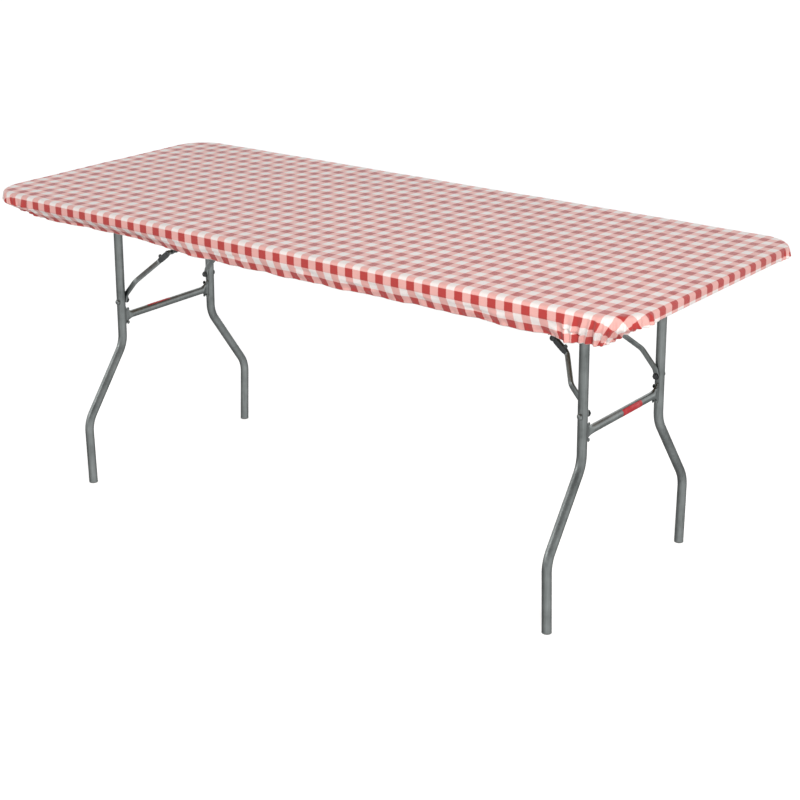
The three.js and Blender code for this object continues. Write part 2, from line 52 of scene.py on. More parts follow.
AXIS_Y = Vector((0, 1, 0))
AXIS_Z = Vector((0, 0, 1))


def middle(node):
    low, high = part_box(node)
    return (low + high) / 2


def high_corner(node):
    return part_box(node)[1]


# ---- sizes and places

COVER_HIGH = high_corner("gingham_cover")
PIVOT = middle("right_pivot_rod")
BOLT = middle("right_brace_bolt_front")
KNUCKLE = middle("right_knuckle_rivet_front")
ANCHOR = middle("right_anchor_rod")
FOOT = middle("right_foot_glide_front")
FOOT_Y = abs(FOOT.y)
LEG_LEAN = math.atan((FOOT.x - PIVOT.x) / PIVOT.z)

LEG_RADIUS = 0.0111
LEG_WALL = 0.0015
LEG_UPPER_Y = 0.167
LEG_LOWER_Y = 0.300
UPPER_BEND_Z = 0.350
LOWER_BEND_Z = 0.168
LEG_BEND_RADIUS = 0.075
LEG_ABOVE_PIVOT = 0.016
FOOT_GAP = 0.003

BAR_RADIUS = 0.0095
BAR_Z = middle("right_cross_bar").z
BAR_END_Y = high_corner("right_cross_bar").y
FISHTAIL_HALF_HEIGHT = 0.025
FISHTAIL_LENGTH = 0.024
FISHTAIL_RIVET_DROP = 0.0180
FISHTAIL_RIVET_INSET = 0.0065

BOLT_DROP = 0.253
STRAP_HALF_WIDTH = 0.0065
STRAP_HALF_THICK = 0.0035
ARM_LEG_Y = 0.152
ARM_KNUCKLE_Y = 0.1036
UPPER_ARM_Y = 0.094
LOWER_ARM_KNEE = (0.653, 0.519)
LOWER_ARM_JOG = (0.611, 0.569)
LOCK_START = 0.015
LOCK_LENGTH = 0.028

CORNER = 0.090
CLOTH_THICK = 0.0007
EDGE_ROLL = 0.007
CHECK_X = 0.0408
CHECK_Y = 0.0491
CHECK_START_X = -0.8287
CHECK_START_Y = -0.3486

# ---- materials


class Nodes:
    """A short way to write the node graph of a material, or of the world."""

    def __init__(self, name, kind="materials", shader="Principled BSDF"):
        self.owner = getattr(bpy.data, kind).new(name)
        self.owner.use_nodes = True
        self.tree = self.owner.node_tree
        self.shader = self.tree.nodes[shader]

    def add(self, kind, inputs=(), **settings):
        node = self.tree.nodes.new(kind)
        for key, value in settings.items():
            setattr(node, key, value)
        for key, value in dict(inputs).items():
            self.set(node, key, value)
        return node

    def set(self, node, key, value):
        if isinstance(value, bpy.types.NodeSocket):
            self.tree.links.new(value, node.inputs[key])
        else:
            node.inputs[key].default_value = value

    def math(self, operation, a, b=0.0):
        return self.add("ShaderNodeMath", {0: a, 1: b}, operation=operation).outputs[0]

    def mix(self, factor, a, b, blend="MIX"):
        inputs = {0: factor, 6: a, 7: b}
        return self.add("ShaderNodeMix", inputs, data_type="RGBA", blend_type=blend).outputs[2]

    def noise(self, vector, scale, detail=3.0, roughness=0.55, distortion=0.0):
        inputs = {"Vector": vector, "Scale": scale, "Detail": detail}
        inputs.update({"Roughness": roughness, "Distortion": distortion})
        return self.add("ShaderNodeTexNoise", inputs).outputs[0]

    def spread(self, value, low, high, to_low, to_high):
        inputs = {0: value, 1: low, 2: high, 3: to_low, 4: to_high}
        return self.add("ShaderNodeMapRange", inputs).outputs[0]

    def stretched(self, vector, scale):
        return self.add("ShaderNodeMapping", {"Vector": vector, "Scale": scale}).outputs[0]

    def apart(self, vector):
        return self.add("ShaderNodeSeparateXYZ", {0: vector}).outputs

    def grey(self, tone):
        return self.add("ShaderNodeCombineColor", {0: tone, 1: tone, 2: tone}).outputs[0]

    def object_place(self):
        return self.add("ShaderNodeTexCoord").outputs["Object"]

    def bump(self, height, strength, distance, below=None):
        inputs = {"Height": height, "Strength": strength, "Distance": distance}
        if below is not None:
            inputs["Normal"] = below
        return self.add("ShaderNodeBump", inputs).outputs[0]

    def finish(self, **sockets):
        for key, value in sockets.items():
            self.set(self.shader, key.replace("_", " "), value)
        return self.owner


def colour(red, green, blue):
    """Linear colour from the usual 0 to 255 screen values."""
    screen = [value / 255 for value in (red, green, blue)]
    linear = [v / 12.92 if v <= 0.04045 else ((v + 0.055) / 1.055) ** 2.4 for v in screen]
    return (*linear, 1.0)


STRIPE_EDGE = 0.015
STRIPE_WANDER = 0.0003
YARN = 0.0011
WHITE_YARN = colour(250, 241, 238)
PINK_YARN = colour(242, 181, 174)
RED_YARN = colour(190, 54, 50)


def stripe(nodes, along, pitch, start):
    """1 on the dyed yarns of a stripe, 0 on the white ones, with a soft edge one yarn wide."""
    turns = nodes.math("DIVIDE", nodes.math("SUBTRACT", along, start), pitch)
    saw = nodes.math("PINGPONG", turns, 0.5)
    return nodes.spread(saw, 0.25 - STRIPE_EDGE, 0.25 + STRIPE_EDGE, 1.0, 0.0)


def gingham():
    """White, pink and red checks from two sets of stripes, woven, a little faded and crumpled."""
    nodes = Nodes("gingham")
    cloth = nodes.add("ShaderNodeAttribute", attribute_name="cloth").outputs["Vector"]
    x, y, _ = nodes.apart(cloth)
    shift = nodes.spread(nodes.noise(cloth, 300.0, 2.0), 0.3, 0.7, -STRIPE_WANDER, STRIPE_WANDER)
    dyed_x = stripe(nodes, nodes.math("ADD", x, shift), CHECK_X, CHECK_START_X)
    dyed_y = stripe(nodes, nodes.math("ADD", y, shift), CHECK_Y, CHECK_START_Y)
    share = nodes.math("MULTIPLY", nodes.math("ADD", dyed_x, dyed_y), 0.5)
    ramp = nodes.add("ShaderNodeValToRGB", {0: share})
    ramp.color_ramp.elements[0].color = WHITE_YARN
    ramp.color_ramp.elements[1].color = RED_YARN
    ramp.color_ramp.elements.new(0.5).color = PINK_YARN
    warp, weft = [nodes.math("SINE", nodes.math("MULTIPLY", way, 2 * math.pi / YARN)) for way in (x, y)]
    weave = nodes.math("MULTIPLY", warp, weft)
    slub = nodes.noise(nodes.stretched(cloth, (60, 900, 1)), 1.0, 2.0)
    threads = nodes.spread(weave, -1.0, 1.0, 0.955, 1.03)
    worn = nodes.spread(nodes.noise(cloth, 5.0, 3.0), 0.25, 0.75, 0.95, 1.04)
    slubby = nodes.spread(slub, 0.25, 0.75, 0.96, 1.03)
    tone = nodes.math("MULTIPLY", nodes.math("MULTIPLY", threads, worn), slubby)
    crumpled = nodes.bump(nodes.noise(cloth, 38.0, 4.0, 0.6, 0.6), 0.35, 0.004)
    return nodes.finish(
        Base_Color=nodes.mix(1.0, ramp.outputs[0], nodes.grey(tone), "MULTIPLY"),
        Roughness=nodes.spread(nodes.noise(cloth, 22.0, 3.0), 0.3, 0.7, 0.42, 0.54),
        Normal=nodes.bump(weave, 0.25, 0.00025, crumpled),
        Sheen_Weight=0.22,
        Sheen_Roughness=0.5,
        Specular_IOR_Level=0.6,
    )


def elastic_thread():
    nodes = Nodes("hem_thread")
    place = nodes.object_place()
    twist = nodes.noise(nodes.stretched(place, (900, 900, 900)), 1.0, 2.0)
    base = nodes.mix(twist, colour(226, 206, 200), colour(250, 243, 238))
    return nodes.finish(Base_Color=base, Roughness=0.75, Normal=nodes.bump(twist, 0.4, 0.0003))


def steel(name, dark, light, rough_low, rough_high):
    """Zinc-plated steel: soft spangle, rolling marks, small scuffs, and duller patches."""
    nodes = Nodes(name)
    place = nodes.object_place()
    cells = {"Vector": place, "Scale": 95.0, "Randomness": 1.0}
    spangle = nodes.add("ShaderNodeTexVoronoi", cells, feature="SMOOTH_F1")
    patches = nodes.noise(place, 16.0, 4.0)
    drawn = nodes.noise(nodes.stretched(place, (420, 420, 14)), 1.0, 3.0)
    scuffs = nodes.noise(place, 240.0, 6.0, 0.7)
    blotch = nodes.math("ADD", nodes.math("MULTIPLY", patches, 0.6), nodes.math("MULTIPLY", drawn, 0.4))
    tone = nodes.spread(blotch, 0.35, 0.65, 0.0, 1.0)
    base = nodes.mix(tone, dark, light)
    flecks = nodes.spread(spangle.outputs["Distance"], 0.1, 0.6, 0.0, 0.18)
    base = nodes.mix(flecks, base, light)
    marks = nodes.spread(scuffs, 0.62, 0.75, 0.0, 0.5)
    base = nodes.mix(marks, base, dark)
    rough = nodes.spread(blotch, 0.3, 0.7, rough_low, rough_high)
    normal = nodes.bump(drawn, 0.12, 0.0004, nodes.bump(scuffs, 0.08, 0.0002))
    return nodes.finish(Base_Color=base, Metallic=1.0, Roughness=rough, Normal=normal)


def wood(name, light, dark, ring_scale, layers):
    """Softwood grain along the table. Edges show the plies when layers is above 0."""
    nodes = Nodes(name)
    place = nodes.object_place()
    grain = nodes.noise(nodes.stretched(place, (2.2, 42, 42)), ring_scale, 5.0, 0.6, 1.4)
    fibres = nodes.noise(nodes.stretched(place, (25, 700, 700)), 1.0, 3.0)
    rings = nodes.math("FRACT", nodes.math("MULTIPLY", grain, 7.0))
    figure = nodes.spread(rings, 0.0, 1.0, 0.15, 0.85)
    base = nodes.mix(figure, light, dark)
    base = nodes.mix(nodes.spread(fibres, 0.4, 0.7, 0.0, 0.45), base, dark)
    height = nodes.math("ADD", figure, fibres)
    if layers:
        upward = nodes.apart(nodes.add("ShaderNodeNewGeometry").outputs["Normal"])[2]
        side = nodes.spread(nodes.math("ABSOLUTE", upward), 0.3, 0.7, 1.0, 0.0)
        ply = nodes.math("PINGPONG", nodes.math("MULTIPLY", nodes.apart(place)[2], layers), 1.0)
        plies = nodes.mix(nodes.spread(ply, 0.4, 0.6, 0.0, 1.0), light, dark)
        base = nodes.mix(side, base, plies)
    return nodes.finish(Base_Color=base, Roughness=0.62, Normal=nodes.bump(height, 0.3, 0.0005))


def moulded(name, main, worn, rough):
    """Moulded plastic or vinyl with a fine leathery grain and scuffed high spots."""
    nodes = Nodes(name)
    place = nodes.object_place()
    grain = nodes.noise(place, 900.0, 3.0)
    scuff = nodes.spread(nodes.noise(place, 60.0, 5.0, 0.65), 0.5, 0.72, 0.0, 0.7)
    base = nodes.mix(scuff, main, worn)
    roughness = nodes.spread(grain, 0.3, 0.7, rough - 0.06, rough + 0.08)
    return nodes.finish(Base_Color=base, Roughness=roughness, Normal=nodes.bump(grain, 0.25, 0.0002))


MATERIALS = {
    "gingham": gingham(),
    "elastic": elastic_thread(),
    "zinc": steel("zinc", colour(118, 123, 122), colour(172, 178, 177), 0.26, 0.42),
    # Dark zinc for nuts, screws, pins and sleeves; on the knuckle clevis it is painted shade.
    "zinc_dark": steel("zinc_dark", colour(80, 82, 83), colour(118, 121, 122), 0.36, 0.55),
    "plywood": wood("plywood", colour(206, 188, 160), colour(166, 142, 112), 1.0, 330.0),
    "batten": wood("batten", colour(205, 168, 118), colour(150, 108, 66), 1.6, 0.0),
    "edging": moulded("edging", colour(52, 50, 48), colour(96, 92, 88), 0.5),
    "glide": moulded("glide", colour(128, 131, 131), colour(168, 170, 170), 0.5),
    "sticker": moulded("sticker", colour(190, 34, 44), colour(214, 92, 96), 0.38),
}

# ---- mesh making


def add_object(name, data):
    holder = bpy.data.objects.new(name, data)
    bpy.context.scene.collection.objects.link(holder)
    return holder


def mesh_object(name, verts, faces):
    mesh = bpy.data.meshes.new(name)
    mesh.from_pydata(verts, [], faces)
    return add_object(name, mesh)


def make(name, body, slot, shells, replaces=(), crease=35, bevel=0.0):
    """A piece of one or more closed shells, each a pair of vertices and faces."""
    verts, faces = [], []
    for shell_verts, shell_faces in shells:
        start = len(verts)
        verts += [tuple(v) for v in shell_verts]
        faces += [tuple(start + i for i in face) for face in shell_faces]
    return dress(mesh_object(name, verts, faces), body, slot, replaces, crease, bevel)


def dress(piece, body, slot, replaces=(), crease=35, bevel=0.0):
    mesh = piece.data
    mesh.materials.clear()
    mesh.materials.append(MATERIALS[slot])
    mesh.shade_smooth()
    mesh.set_sharp_from_angle(angle=math.radians(crease))
    if bevel:
        soften(piece, bevel)
    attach(piece, body)
    if replaces:
        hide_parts(*replaces)
    return piece


SOFTEN_ANGLE = 38


def soften(piece, width):
    modifier = piece.modifiers.new("soft_edges", "BEVEL")
    modifier.width = width
    modifier.segments = 3
    modifier.limit_method = "ANGLE"
    modifier.angle_limit = math.radians(SOFTEN_ANGLE)
    modifier.harden_normals = True
    modifier.use_clamp_overlap = True


def circle(radius, count):
    return [(radius * math.cos(a), radius * math.sin(a)) for a in turns(count)]


def turns(count):
    return [2 * math.pi * i / count for i in range(count)]


def rounded_box(half_wide, half_thick, radius, per_corner=5):
    points = []
    corners = [(1, 1, 0), (-1, 1, 1), (-1, -1, 2), (1, -1, 3)]
    for wide, thick, quarter in corners:
        for step in range(per_corner + 1):
            angle = (quarter + step / per_corner) * math.pi / 2
            a = wide * (half_wide - radius) + radius * math.cos(angle)
            b = thick * (half_thick - radius) + radius * math.sin(angle)
            points.append((a, b))
    return points


def bent(corners, radius, steps):
    """Straight runs between the corners, each inner corner rounded to the radius."""
    path = [corners[0]]
    for before, here, after in zip(corners, corners[1:], corners[2:]):
        into = (here - before).normalized()
        out = (after - here).normalized()
        turn = into.angle(out)
        aside = (out - into * out.dot(into)).normalized()
        start = here - into * (radius * math.tan(turn / 2))
        for step in range(steps + 1):
            angle = turn * step / steps
            path.append(start + into * (radius * math.sin(angle)) + aside * (radius * (1 - math.cos(angle))))
    path.append(corners[-1])
    return path


def divided(path, length):
    """The same path with extra points, so that no step is longer than length."""
    points = [path[0]]
    for a, b in zip(path, path[1:]):
        count = max(1, math.ceil((b - a).length / length))
        points += [a.lerp(b, step / count) for step in range(1, count + 1)]
    return points


def directions(path):
    ahead = [(b - a).normalized() for a, b in zip(path, path[1:])]
    return [(a + b).normalized() for a, b in zip([ahead[0], *ahead], [*ahead, ahead[-1]])]


def ring_faces(rows, count, first=0, flip=False):
    faces = []
    for row in range(rows - 1):
        for i in range(count):
            j = (i + 1) % count
            low, high = first + row * count, first + (row + 1) * count
            face = (low + i, low + j, high + j, high + i)
            faces.append(face[::-1] if flip else face)
    return faces


def swept(path, sections, across):
    """The points of each section on its path point, the second way of the section along across."""
    verts = []
    for point, ahead, section in zip(path, directions(path), sections):
        side = across.cross(ahead).normalized()
        thick = ahead.cross(side)
        verts += [point + side * a + thick * b for a, b in section]
    return verts


def sweep(path, sections, across):
    """One closed shell."""
    verts = swept(path, sections, across)
    count = len(sections[0])
    last = len(verts) - count
    ends = [tuple(range(count)), tuple(range(last + count - 1, last - 1, -1))]
    return outward(verts, ring_faces(len(path), count, flip=True) + ends)


def pipe(path, outer, inner, across):
    """A tube with a bore, open at both ends."""
    rows, count = len(path), len(outer)
    verts = swept(path, [outer] * rows, across) + swept(path, [inner] * rows, across)
    bore = rows * count
    faces = ring_faces(rows, count, flip=True) + ring_faces(rows, count, bore)
    for row, flip in ((0, True), (rows - 1, False)):
        for i in range(count):
            out, j = row * count, (i + 1) % count
            face = (out + i, out + j, bore + out + j, bore + out + i)
            faces.append(face[::-1] if flip else face)
    return outward(verts, faces)


def outward(verts, faces):
    """Turns every face over if the shell is inside out."""
    volume = 0.0
    for face in faces:
        for b, c in zip(face[1:], face[2:]):
            volume += verts[face[0]].dot(verts[b].cross(verts[c]))
    return (verts, [face[::-1] for face in faces]) if volume < 0 else (verts, faces)


def lathe(profile, count, place, axis):
    """Turns (radius, height) pairs round an axis. The profile starts and ends on the axis."""
    turn = axis.to_track_quat("Z", "Y")
    inner = [p for p in profile if p[0] > 1e-7]
    verts = []
    for radius, height in inner:
        verts += [place + turn @ Vector((a, b, height)) for a, b in circle(radius, count)]
    faces = ring_faces(len(inner), count)
    verts += [place + turn @ Vector((0, 0, end[1])) for end in (profile[0], profile[-1])]
    low, high = len(verts) - 2, len(verts) - 1
    last = (len(inner) - 1) * count
    for i in range(count):
        j = (i + 1) % count
        faces += [(low, j, i), (high, last + i, last + j)]
    return outward(verts, faces)


def disc(radius, height):
    return [(0, 0), (radius, 0), (radius, height), (0, height)]


def dome(radius, height, skirt, steps=6):
    """The profile of a domed head that stands on z = 0."""
    profile = [(0, 0), (radius * 0.97, 0), (radius, skirt * 0.3), (radius, skirt)]
    for step in range(1, steps):
        angle = step / steps * math.pi / 2
        profile.append((radius * math.cos(angle), skirt + (height - skirt) * math.sin(angle)))
    return [*profile, (0, height)]


PLATE_EDGE = 0.0004


def plate(outline, holes, low, high, place):
    """A flat plate with round corners and holes. place(u, v, w) turns plate coordinates into the frame's."""
    curve = bpy.data.curves.new("plate", "CURVE")
    curve.dimensions = "2D"
    curve.fill_mode = "BOTH"
    curve.extrude = (high - low) / 2 - PLATE_EDGE
    curve.bevel_depth = PLATE_EDGE
    curve.bevel_resolution = 2
    curve.offset = -PLATE_EDGE
    for loop in [outline, *holes]:
        spline = curve.splines.new("POLY")
        spline.points.add(len(loop) - 1)
        for point, (u, v) in zip(spline.points, loop):
            point.co = (u, v, 0, 1)
        spline.use_cyclic_u = True
    holder = add_object("plate", curve)
    mesh = bpy.data.meshes.new_from_object(holder.evaluated_get(bpy.context.evaluated_depsgraph_get()))
    verts = [Vector(place(v.co.x, v.co.y, v.co.z + (low + high) / 2)) for v in mesh.vertices]
    faces = [tuple(face.vertices) for face in mesh.polygons]
    bpy.data.objects.remove(holder)
    bpy.data.meshes.remove(mesh)
    return welded(verts, faces)


def welded(verts, faces):
    mesh = bmesh.new()
    for vert in verts:
        mesh.verts.new(vert)
    mesh.verts.ensure_lookup_table()
    for face in faces:
        mesh.faces.new([mesh.verts[i] for i in face])
    bmesh.ops.remove_doubles(mesh, verts=mesh.verts, dist=1e-6)
    bmesh.ops.recalc_face_normals(mesh, faces=mesh.faces)
    mesh.verts.index_update()
    found = ([v.co.copy() for v in mesh.verts], [tuple(v.index for v in f.verts) for f in mesh.faces])
    mesh.free()
    return outward(*found)


def moved(shell, matrix):
    verts, faces = shell
    return [matrix @ v for v in verts], faces


# ---- cloth cover

SKIRT_BAND = 0.0245
SKIRT_SLANT = 0.040
LEAST_LEAN = 0.006
SKIRT_CURL = 0.006
SKIRT_LIP = 0.020
LIP_RISE = 0.004
LEAN_POWER = 1.2
CURL_ANGLE = math.radians(160)
END_DROP = 0.0252
END_CURL = 0.004
END_LIP = 0.036
CLOTH_TOP = COVER_HIGH.z + 0.0004
SPAN_X = COVER_HIGH.x - CORNER
SPAN_Y = COVER_HIGH.y - CORNER
CELLS_X = 420
CELLS_Y = 150
CROWDING = 0.6
CORNER_STEPS = 90
ROLL_STEPS = 5
BAND_STEPS = 8
LEAN_STEPS = 10
CURL_STEPS = 7
TOP_RINGS = 9
PLEAT = 0.026
PLEAT_DEPTH = 1.35
PLEAT_REACH_LONG = 0.060
PLEAT_REACH_END = 0.018
PLEAT_SLANT = 9.0
LEAST_SHARE = 0.15
BLUR_REACH = 6
SETTLE_SHARE = 0.45
CORNER_LEAD = 0.02
SWELL_LEAD = 0.9
GATHER_SIZE = 0.0009
GATHER_LIFT = 0.25
SWELL_SIZE = 0.0022
SWELL_PITCH = 0.034

# Ways round the cover that face a long side: the outward direction's size across the table.
FACING_LONG = (0.35, 0.97)

# Distances down the cloth between which something on the skirt sets in or fades out.
PULL_IN = (0.012, 0.085)
SETTLE_IN = (0.055, 0.085)
OFF_EDGE = (0.026, 0.050)
GATHER_IN = (0.040, 0.070)
BELOW_EDGE = (0.028, 0.040)
SWELL_OUT = (0.080, 0.100)

# Waves: (size, wavelength, phase) of each sine.
HEM_WAVES = [(0.0004, 0.083, 0.4), (0.0006, 0.147, 2.0), (0.0002, 0.041, 1.1)]
PLEAT_DRIFT = [(1.3, 0.23, 0.3), (0.8, 0.11, 1.1), (0.4, 0.067, 2.0)]
GATHERS = [(1.0, 0.0187, 0.0), (0.8, 0.0271, 1.3), (0.5, 0.0143, 2.1)]
SWELL_ALONG = [(0.5, 0.21, 0.5), (0.4, 0.093, 2.2)]
SWELL_DRIFT = [(1.4, 0.37, 0.1), (0.8, 0.15, 0.9)]
TOP_SWELL_X = [(0.0002, 0.33, 0.2), (0.00012, 0.19, 1.0)]
TOP_SWELL_Y = [(0.0002, 0.27, 1.9), (0.0001, 0.13, 0.3)]
RIM_PUCKER = [(0.00022, 0.031, 0.0), (0.00018, 0.047, 1.3), (0.00012, 0.019, 0.4)]
CASING_RUFFLE = [(0.16, 0.0091, 0.0), (0.12, 0.0137, 1.0)]

# The hem's height above the floor along the front, as (x, z).
FRONT_HEM = [
    (-0.86, 0.718), (-0.79, 0.708), (-0.74, 0.706), (-0.58, 0.708), (-0.41, 0.7075), (-0.335, 0.702),
    (-0.26, 0.699), (-0.11, 0.698), (0.03, 0.698), (0.20, 0.698), (0.36, 0.699), (0.52, 0.699),
    (0.66, 0.697), (0.72, 0.698), (0.78, 0.695), (0.83, 0.697), (0.87, 0.701),
]


def running(steps):
    """The running total of steps, from 0."""
    return np.concatenate([[0], np.cumsum(steps)])


def outline_at(t):
    """Base points and outward directions at distances t round the cover, from the front left corner."""
    lengths = [2 * SPAN_X, CORNER * math.pi / 2, 2 * SPAN_Y, CORNER * math.pi / 2] * 2
    starts = running(lengths)
    t = np.mod(t, starts[-1])
    part = np.clip(np.searchsorted(starts, t, side="right") - 1, 0, 7)
    along = (t - starts[part]) / np.array(lengths)[part]
    corners = np.array([(-SPAN_X, -SPAN_Y), (SPAN_X, -SPAN_Y), (SPAN_X, SPAN_Y), (-SPAN_X, SPAN_Y)])
    side = part // 2
    straight = part % 2 == 0
    first = corners[side]
    last = corners[(side + 1) % 4]
    base = np.where(straight[:, None], first + (last - first) * along[:, None], last)
    angle = (side - 1 + np.where(straight, 0, along)) * math.pi / 2
    return base, np.stack([np.cos(angle), np.sin(angle)], 1)


def crowded(cells):
    """Places from 0 to 1 that lie closer together near both ends, where the cloth pleats."""
    angle = np.linspace(-1, 1, cells + 1) * math.pi / 2 * CROWDING
    return 0.5 + 0.5 * np.sin(angle) / math.sin(math.pi / 2 * CROWDING)


def outline_around(places):
    """outline_at for a table of places."""
    base, out = outline_at(places.ravel())
    return base.reshape(*places.shape, 2), out.reshape(*places.shape, 2)


def outline_samples():
    """Distances round the cover of the mesh columns, and the grid vertex that each column starts from."""
    lengths = (2 * SPAN_X, 2 * SPAN_Y, 2 * SPAN_X, 2 * SPAN_Y)
    cells = (CELLS_X, CELLS_Y, CELLS_X, CELLS_Y)
    wide = CELLS_X + 1
    first = (0, CELLS_X, CELLS_Y * wide + CELLS_X, CELLS_Y * wide)
    stride = (1, wide, -1, -wide)
    places, roots, t = [], [], 0.0
    for side in range(4):
        for i, share in enumerate(crowded(cells[side])):
            places.append(t + lengths[side] * share)
            roots.append(first[side] + stride[side] * i)
        t += lengths[side]
        for i in range(1, CORNER_STEPS):
            places.append(t + CORNER * math.pi / 2 * i / CORNER_STEPS)
            roots.append(roots[-1])
        t += CORNER * math.pi / 2
    return np.array(places), roots, t


def smooth(value, low, high):
    share = np.clip((value - low) / (high - low), 0, 1)
    return share * share * (3 - 2 * share)


def waves(place, parts):
    """A sum of sines: each part is (size, wavelength, phase)."""
    return sum(size * np.sin(2 * math.pi * place / length + phase) for size, length, phase in parts)


def hem_profile(drop, curl, lean, lip):
    """The section of the skirt as (outward, up, cloth distance) from the start of the edge roll."""
    band = min(SKIRT_BAND, drop - curl)
    fall = drop - curl - band
    points = []
    for step in range(ROLL_STEPS + 1):
        angle = step / ROLL_STEPS * math.pi / 2
        points.append((EDGE_ROLL * (math.sin(angle) - 1), EDGE_ROLL * (math.cos(angle) - 1)))
    for step in range(1, BAND_STEPS + 1):
        points.append((0, -EDGE_ROLL - (band - EDGE_ROLL) * step / BAND_STEPS))
    for step in range(1, LEAN_STEPS + 1):
        share = step / LEAN_STEPS
        points.append((-lean * share ** LEAN_POWER, -band - fall * share))
    start_x, start_z = points[-1]
    for step in range(1, CURL_STEPS + 1):
        angle = CURL_ANGLE * step / CURL_STEPS
        points.append((start_x - curl * (1 - math.cos(angle)), start_z - curl * math.sin(angle)))
    start_x, start_z = points[-1]
    for step in range(1, CURL_STEPS + 1):
        share = step / CURL_STEPS
        points.append((start_x - lip * share, start_z + LIP_RISE * math.sin(share * math.pi / 2)))
    array = np.array(points)
    return array[:, 0], array[:, 1], running(np.hypot(*np.diff(array, axis=0).T))


SWINGS = np.linspace(0, 2.2, 60)


def bessel(order, size):
    """The Bessel function of the first kind, by its integral."""
    angle = (np.arange(40) + 0.5) * math.pi / 40
    return np.cos(order * angle - np.asarray(size)[..., None] * np.sin(angle)).mean(-1)


def fold(share, phase, length):
    """Where gathered cloth lies, as (along, out) from an even run: it bends in equal open loops.

    share is the run's length over the cloth's, and length is the cloth in one radian of phase.
    """
    swing = np.interp(-share, -bessel(0, SWINGS), SWINGS)
    first, third, fifth = bessel(1, swing), bessel(3, swing) / 3, bessel(5, swing) / 5
    along = -bessel(2, swing) * np.sin(2 * phase) + bessel(4, swing) / 2 * np.sin(4 * phase)
    out = 2 * (first * np.sin(phase) - third * np.sin(3 * phase) + fifth * np.sin(5 * phase))
    return along * length, out * length, 2 * first * length


def pulled_hem(t, sigma, total):
    """Where each hem point ends up round the cover once the elastic has shared out the corners' cloth."""
    girth = sigma[-1] + (total - t[-1])
    wide_t = np.concatenate([t - total, t, t + total])
    wide_sigma = np.concatenate([sigma - girth, sigma, sigma + girth])
    moved_t = wide_t.copy()
    sides = (2 * SPAN_X, 2 * SPAN_Y, 2 * SPAN_X, 2 * SPAN_Y)
    start = -total
    for corner in range(12):
        start += sides[corner % 4]
        stop = start + CORNER * math.pi / 2
        before, after = PLEAT_REACH_LONG, PLEAT_REACH_END
        if corner % 2:
            before, after = after, before
        inside = (wide_t >= start - before) & (wide_t <= stop + after)
        if inside.any():
            s, place = wide_sigma[inside], wide_t[inside]
            moved_t[inside] = place[0] + (s - s[0]) / (s[-1] - s[0]) * (place[-1] - place[0])
        start = stop
    return moved_t[len(t):2 * len(t)]


def blurred(rows, reach):
    """Each column averaged with its neighbours round the cover."""
    kernel = np.hanning(2 * reach + 3)[1:-1]
    kernel /= kernel.sum()
    wide = np.concatenate([rows[-reach:], rows, rows[:reach]])
    return np.apply_along_axis(np.convolve, 0, wide, kernel, mode="valid")


TUCK_WIDTH = 0.0022
TUCK_LIP = 0.8
TUCK_LIP_APART = 0.0045
TUCK_LIP_WIDTH = 0.004
TUCK_SWAY = 0.0015
TUCK_SWAY_LENGTH = 0.021

# Short tucks along the skirt: place along the side, length, distance down the cloth, slope and size.
TUCKS = [
    (0.700, 0.090, 0.0330, -0.010, 0.0030), (0.792, 0.026, 0.0480, 0.10, 0.0060),
    (0.560, 0.060, 0.0470, 0.030, 0.0022), (0.430, 0.080, 0.0350, -0.020, 0.0018),
    (0.250, 0.070, 0.0500, 0.020, 0.0020), (0.080, 0.060, 0.0400, 0.030, 0.0016),
    (-0.120, 0.090, 0.0440, -0.030, 0.0026), (-0.290, 0.060, 0.0380, 0.050, 0.0030),
    (-0.360, 0.050, 0.0490, -0.040, 0.0026), (-0.520, 0.080, 0.0420, 0.020, 0.0022),
    (-0.680, 0.060, 0.0400, -0.050, 0.0026), (-0.790, 0.035, 0.0360, 0.120, 0.0036),
]


def tucked(x, d):
    """How far the tucks pull the skirt in, and the lips beside them push it out."""
    depth = np.zeros(d.shape)
    for middle_x, length, down, slope, size in TUCKS:
        ahead = (x - middle_x)[:, None]
        aside = d - down - slope * ahead - TUCK_SWAY * np.sin(ahead / TUCK_SWAY_LENGTH)
        lip = TUCK_LIP * np.exp(-((aside + TUCK_LIP_APART) / TUCK_LIP_WIDTH) ** 2)
        groove = lip - np.exp(-(aside / TUCK_WIDTH) ** 2)
        depth += size * groove * np.exp(-(ahead / length) ** 4)
    return depth


def skirt_sections(t, x_on_side, facing_long):
    """Outward and up from the edge roll, and cloth distance, of the skirt at each place round the cover."""
    long_drop = CLOTH_TOP - np.interp(x_on_side, *zip(*FRONT_HEM)) + waves(t, HEM_WAVES)
    drop = END_DROP + (long_drop - END_DROP) * facing_long
    curl = END_CURL + (SKIRT_CURL - END_CURL) * facing_long
    lip = END_LIP + (SKIRT_LIP - END_LIP) * facing_long
    fall = np.maximum(drop - curl - SKIRT_BAND, 0)
    lean = np.sqrt(np.maximum(SKIRT_SLANT ** 2 - fall ** 2, LEAST_LEAN ** 2)) * facing_long
    rows = [hem_profile(*sizes) for sizes in zip(drop, curl, lean, lip)]
    return np.moveaxis(np.array(rows), 1, 0)


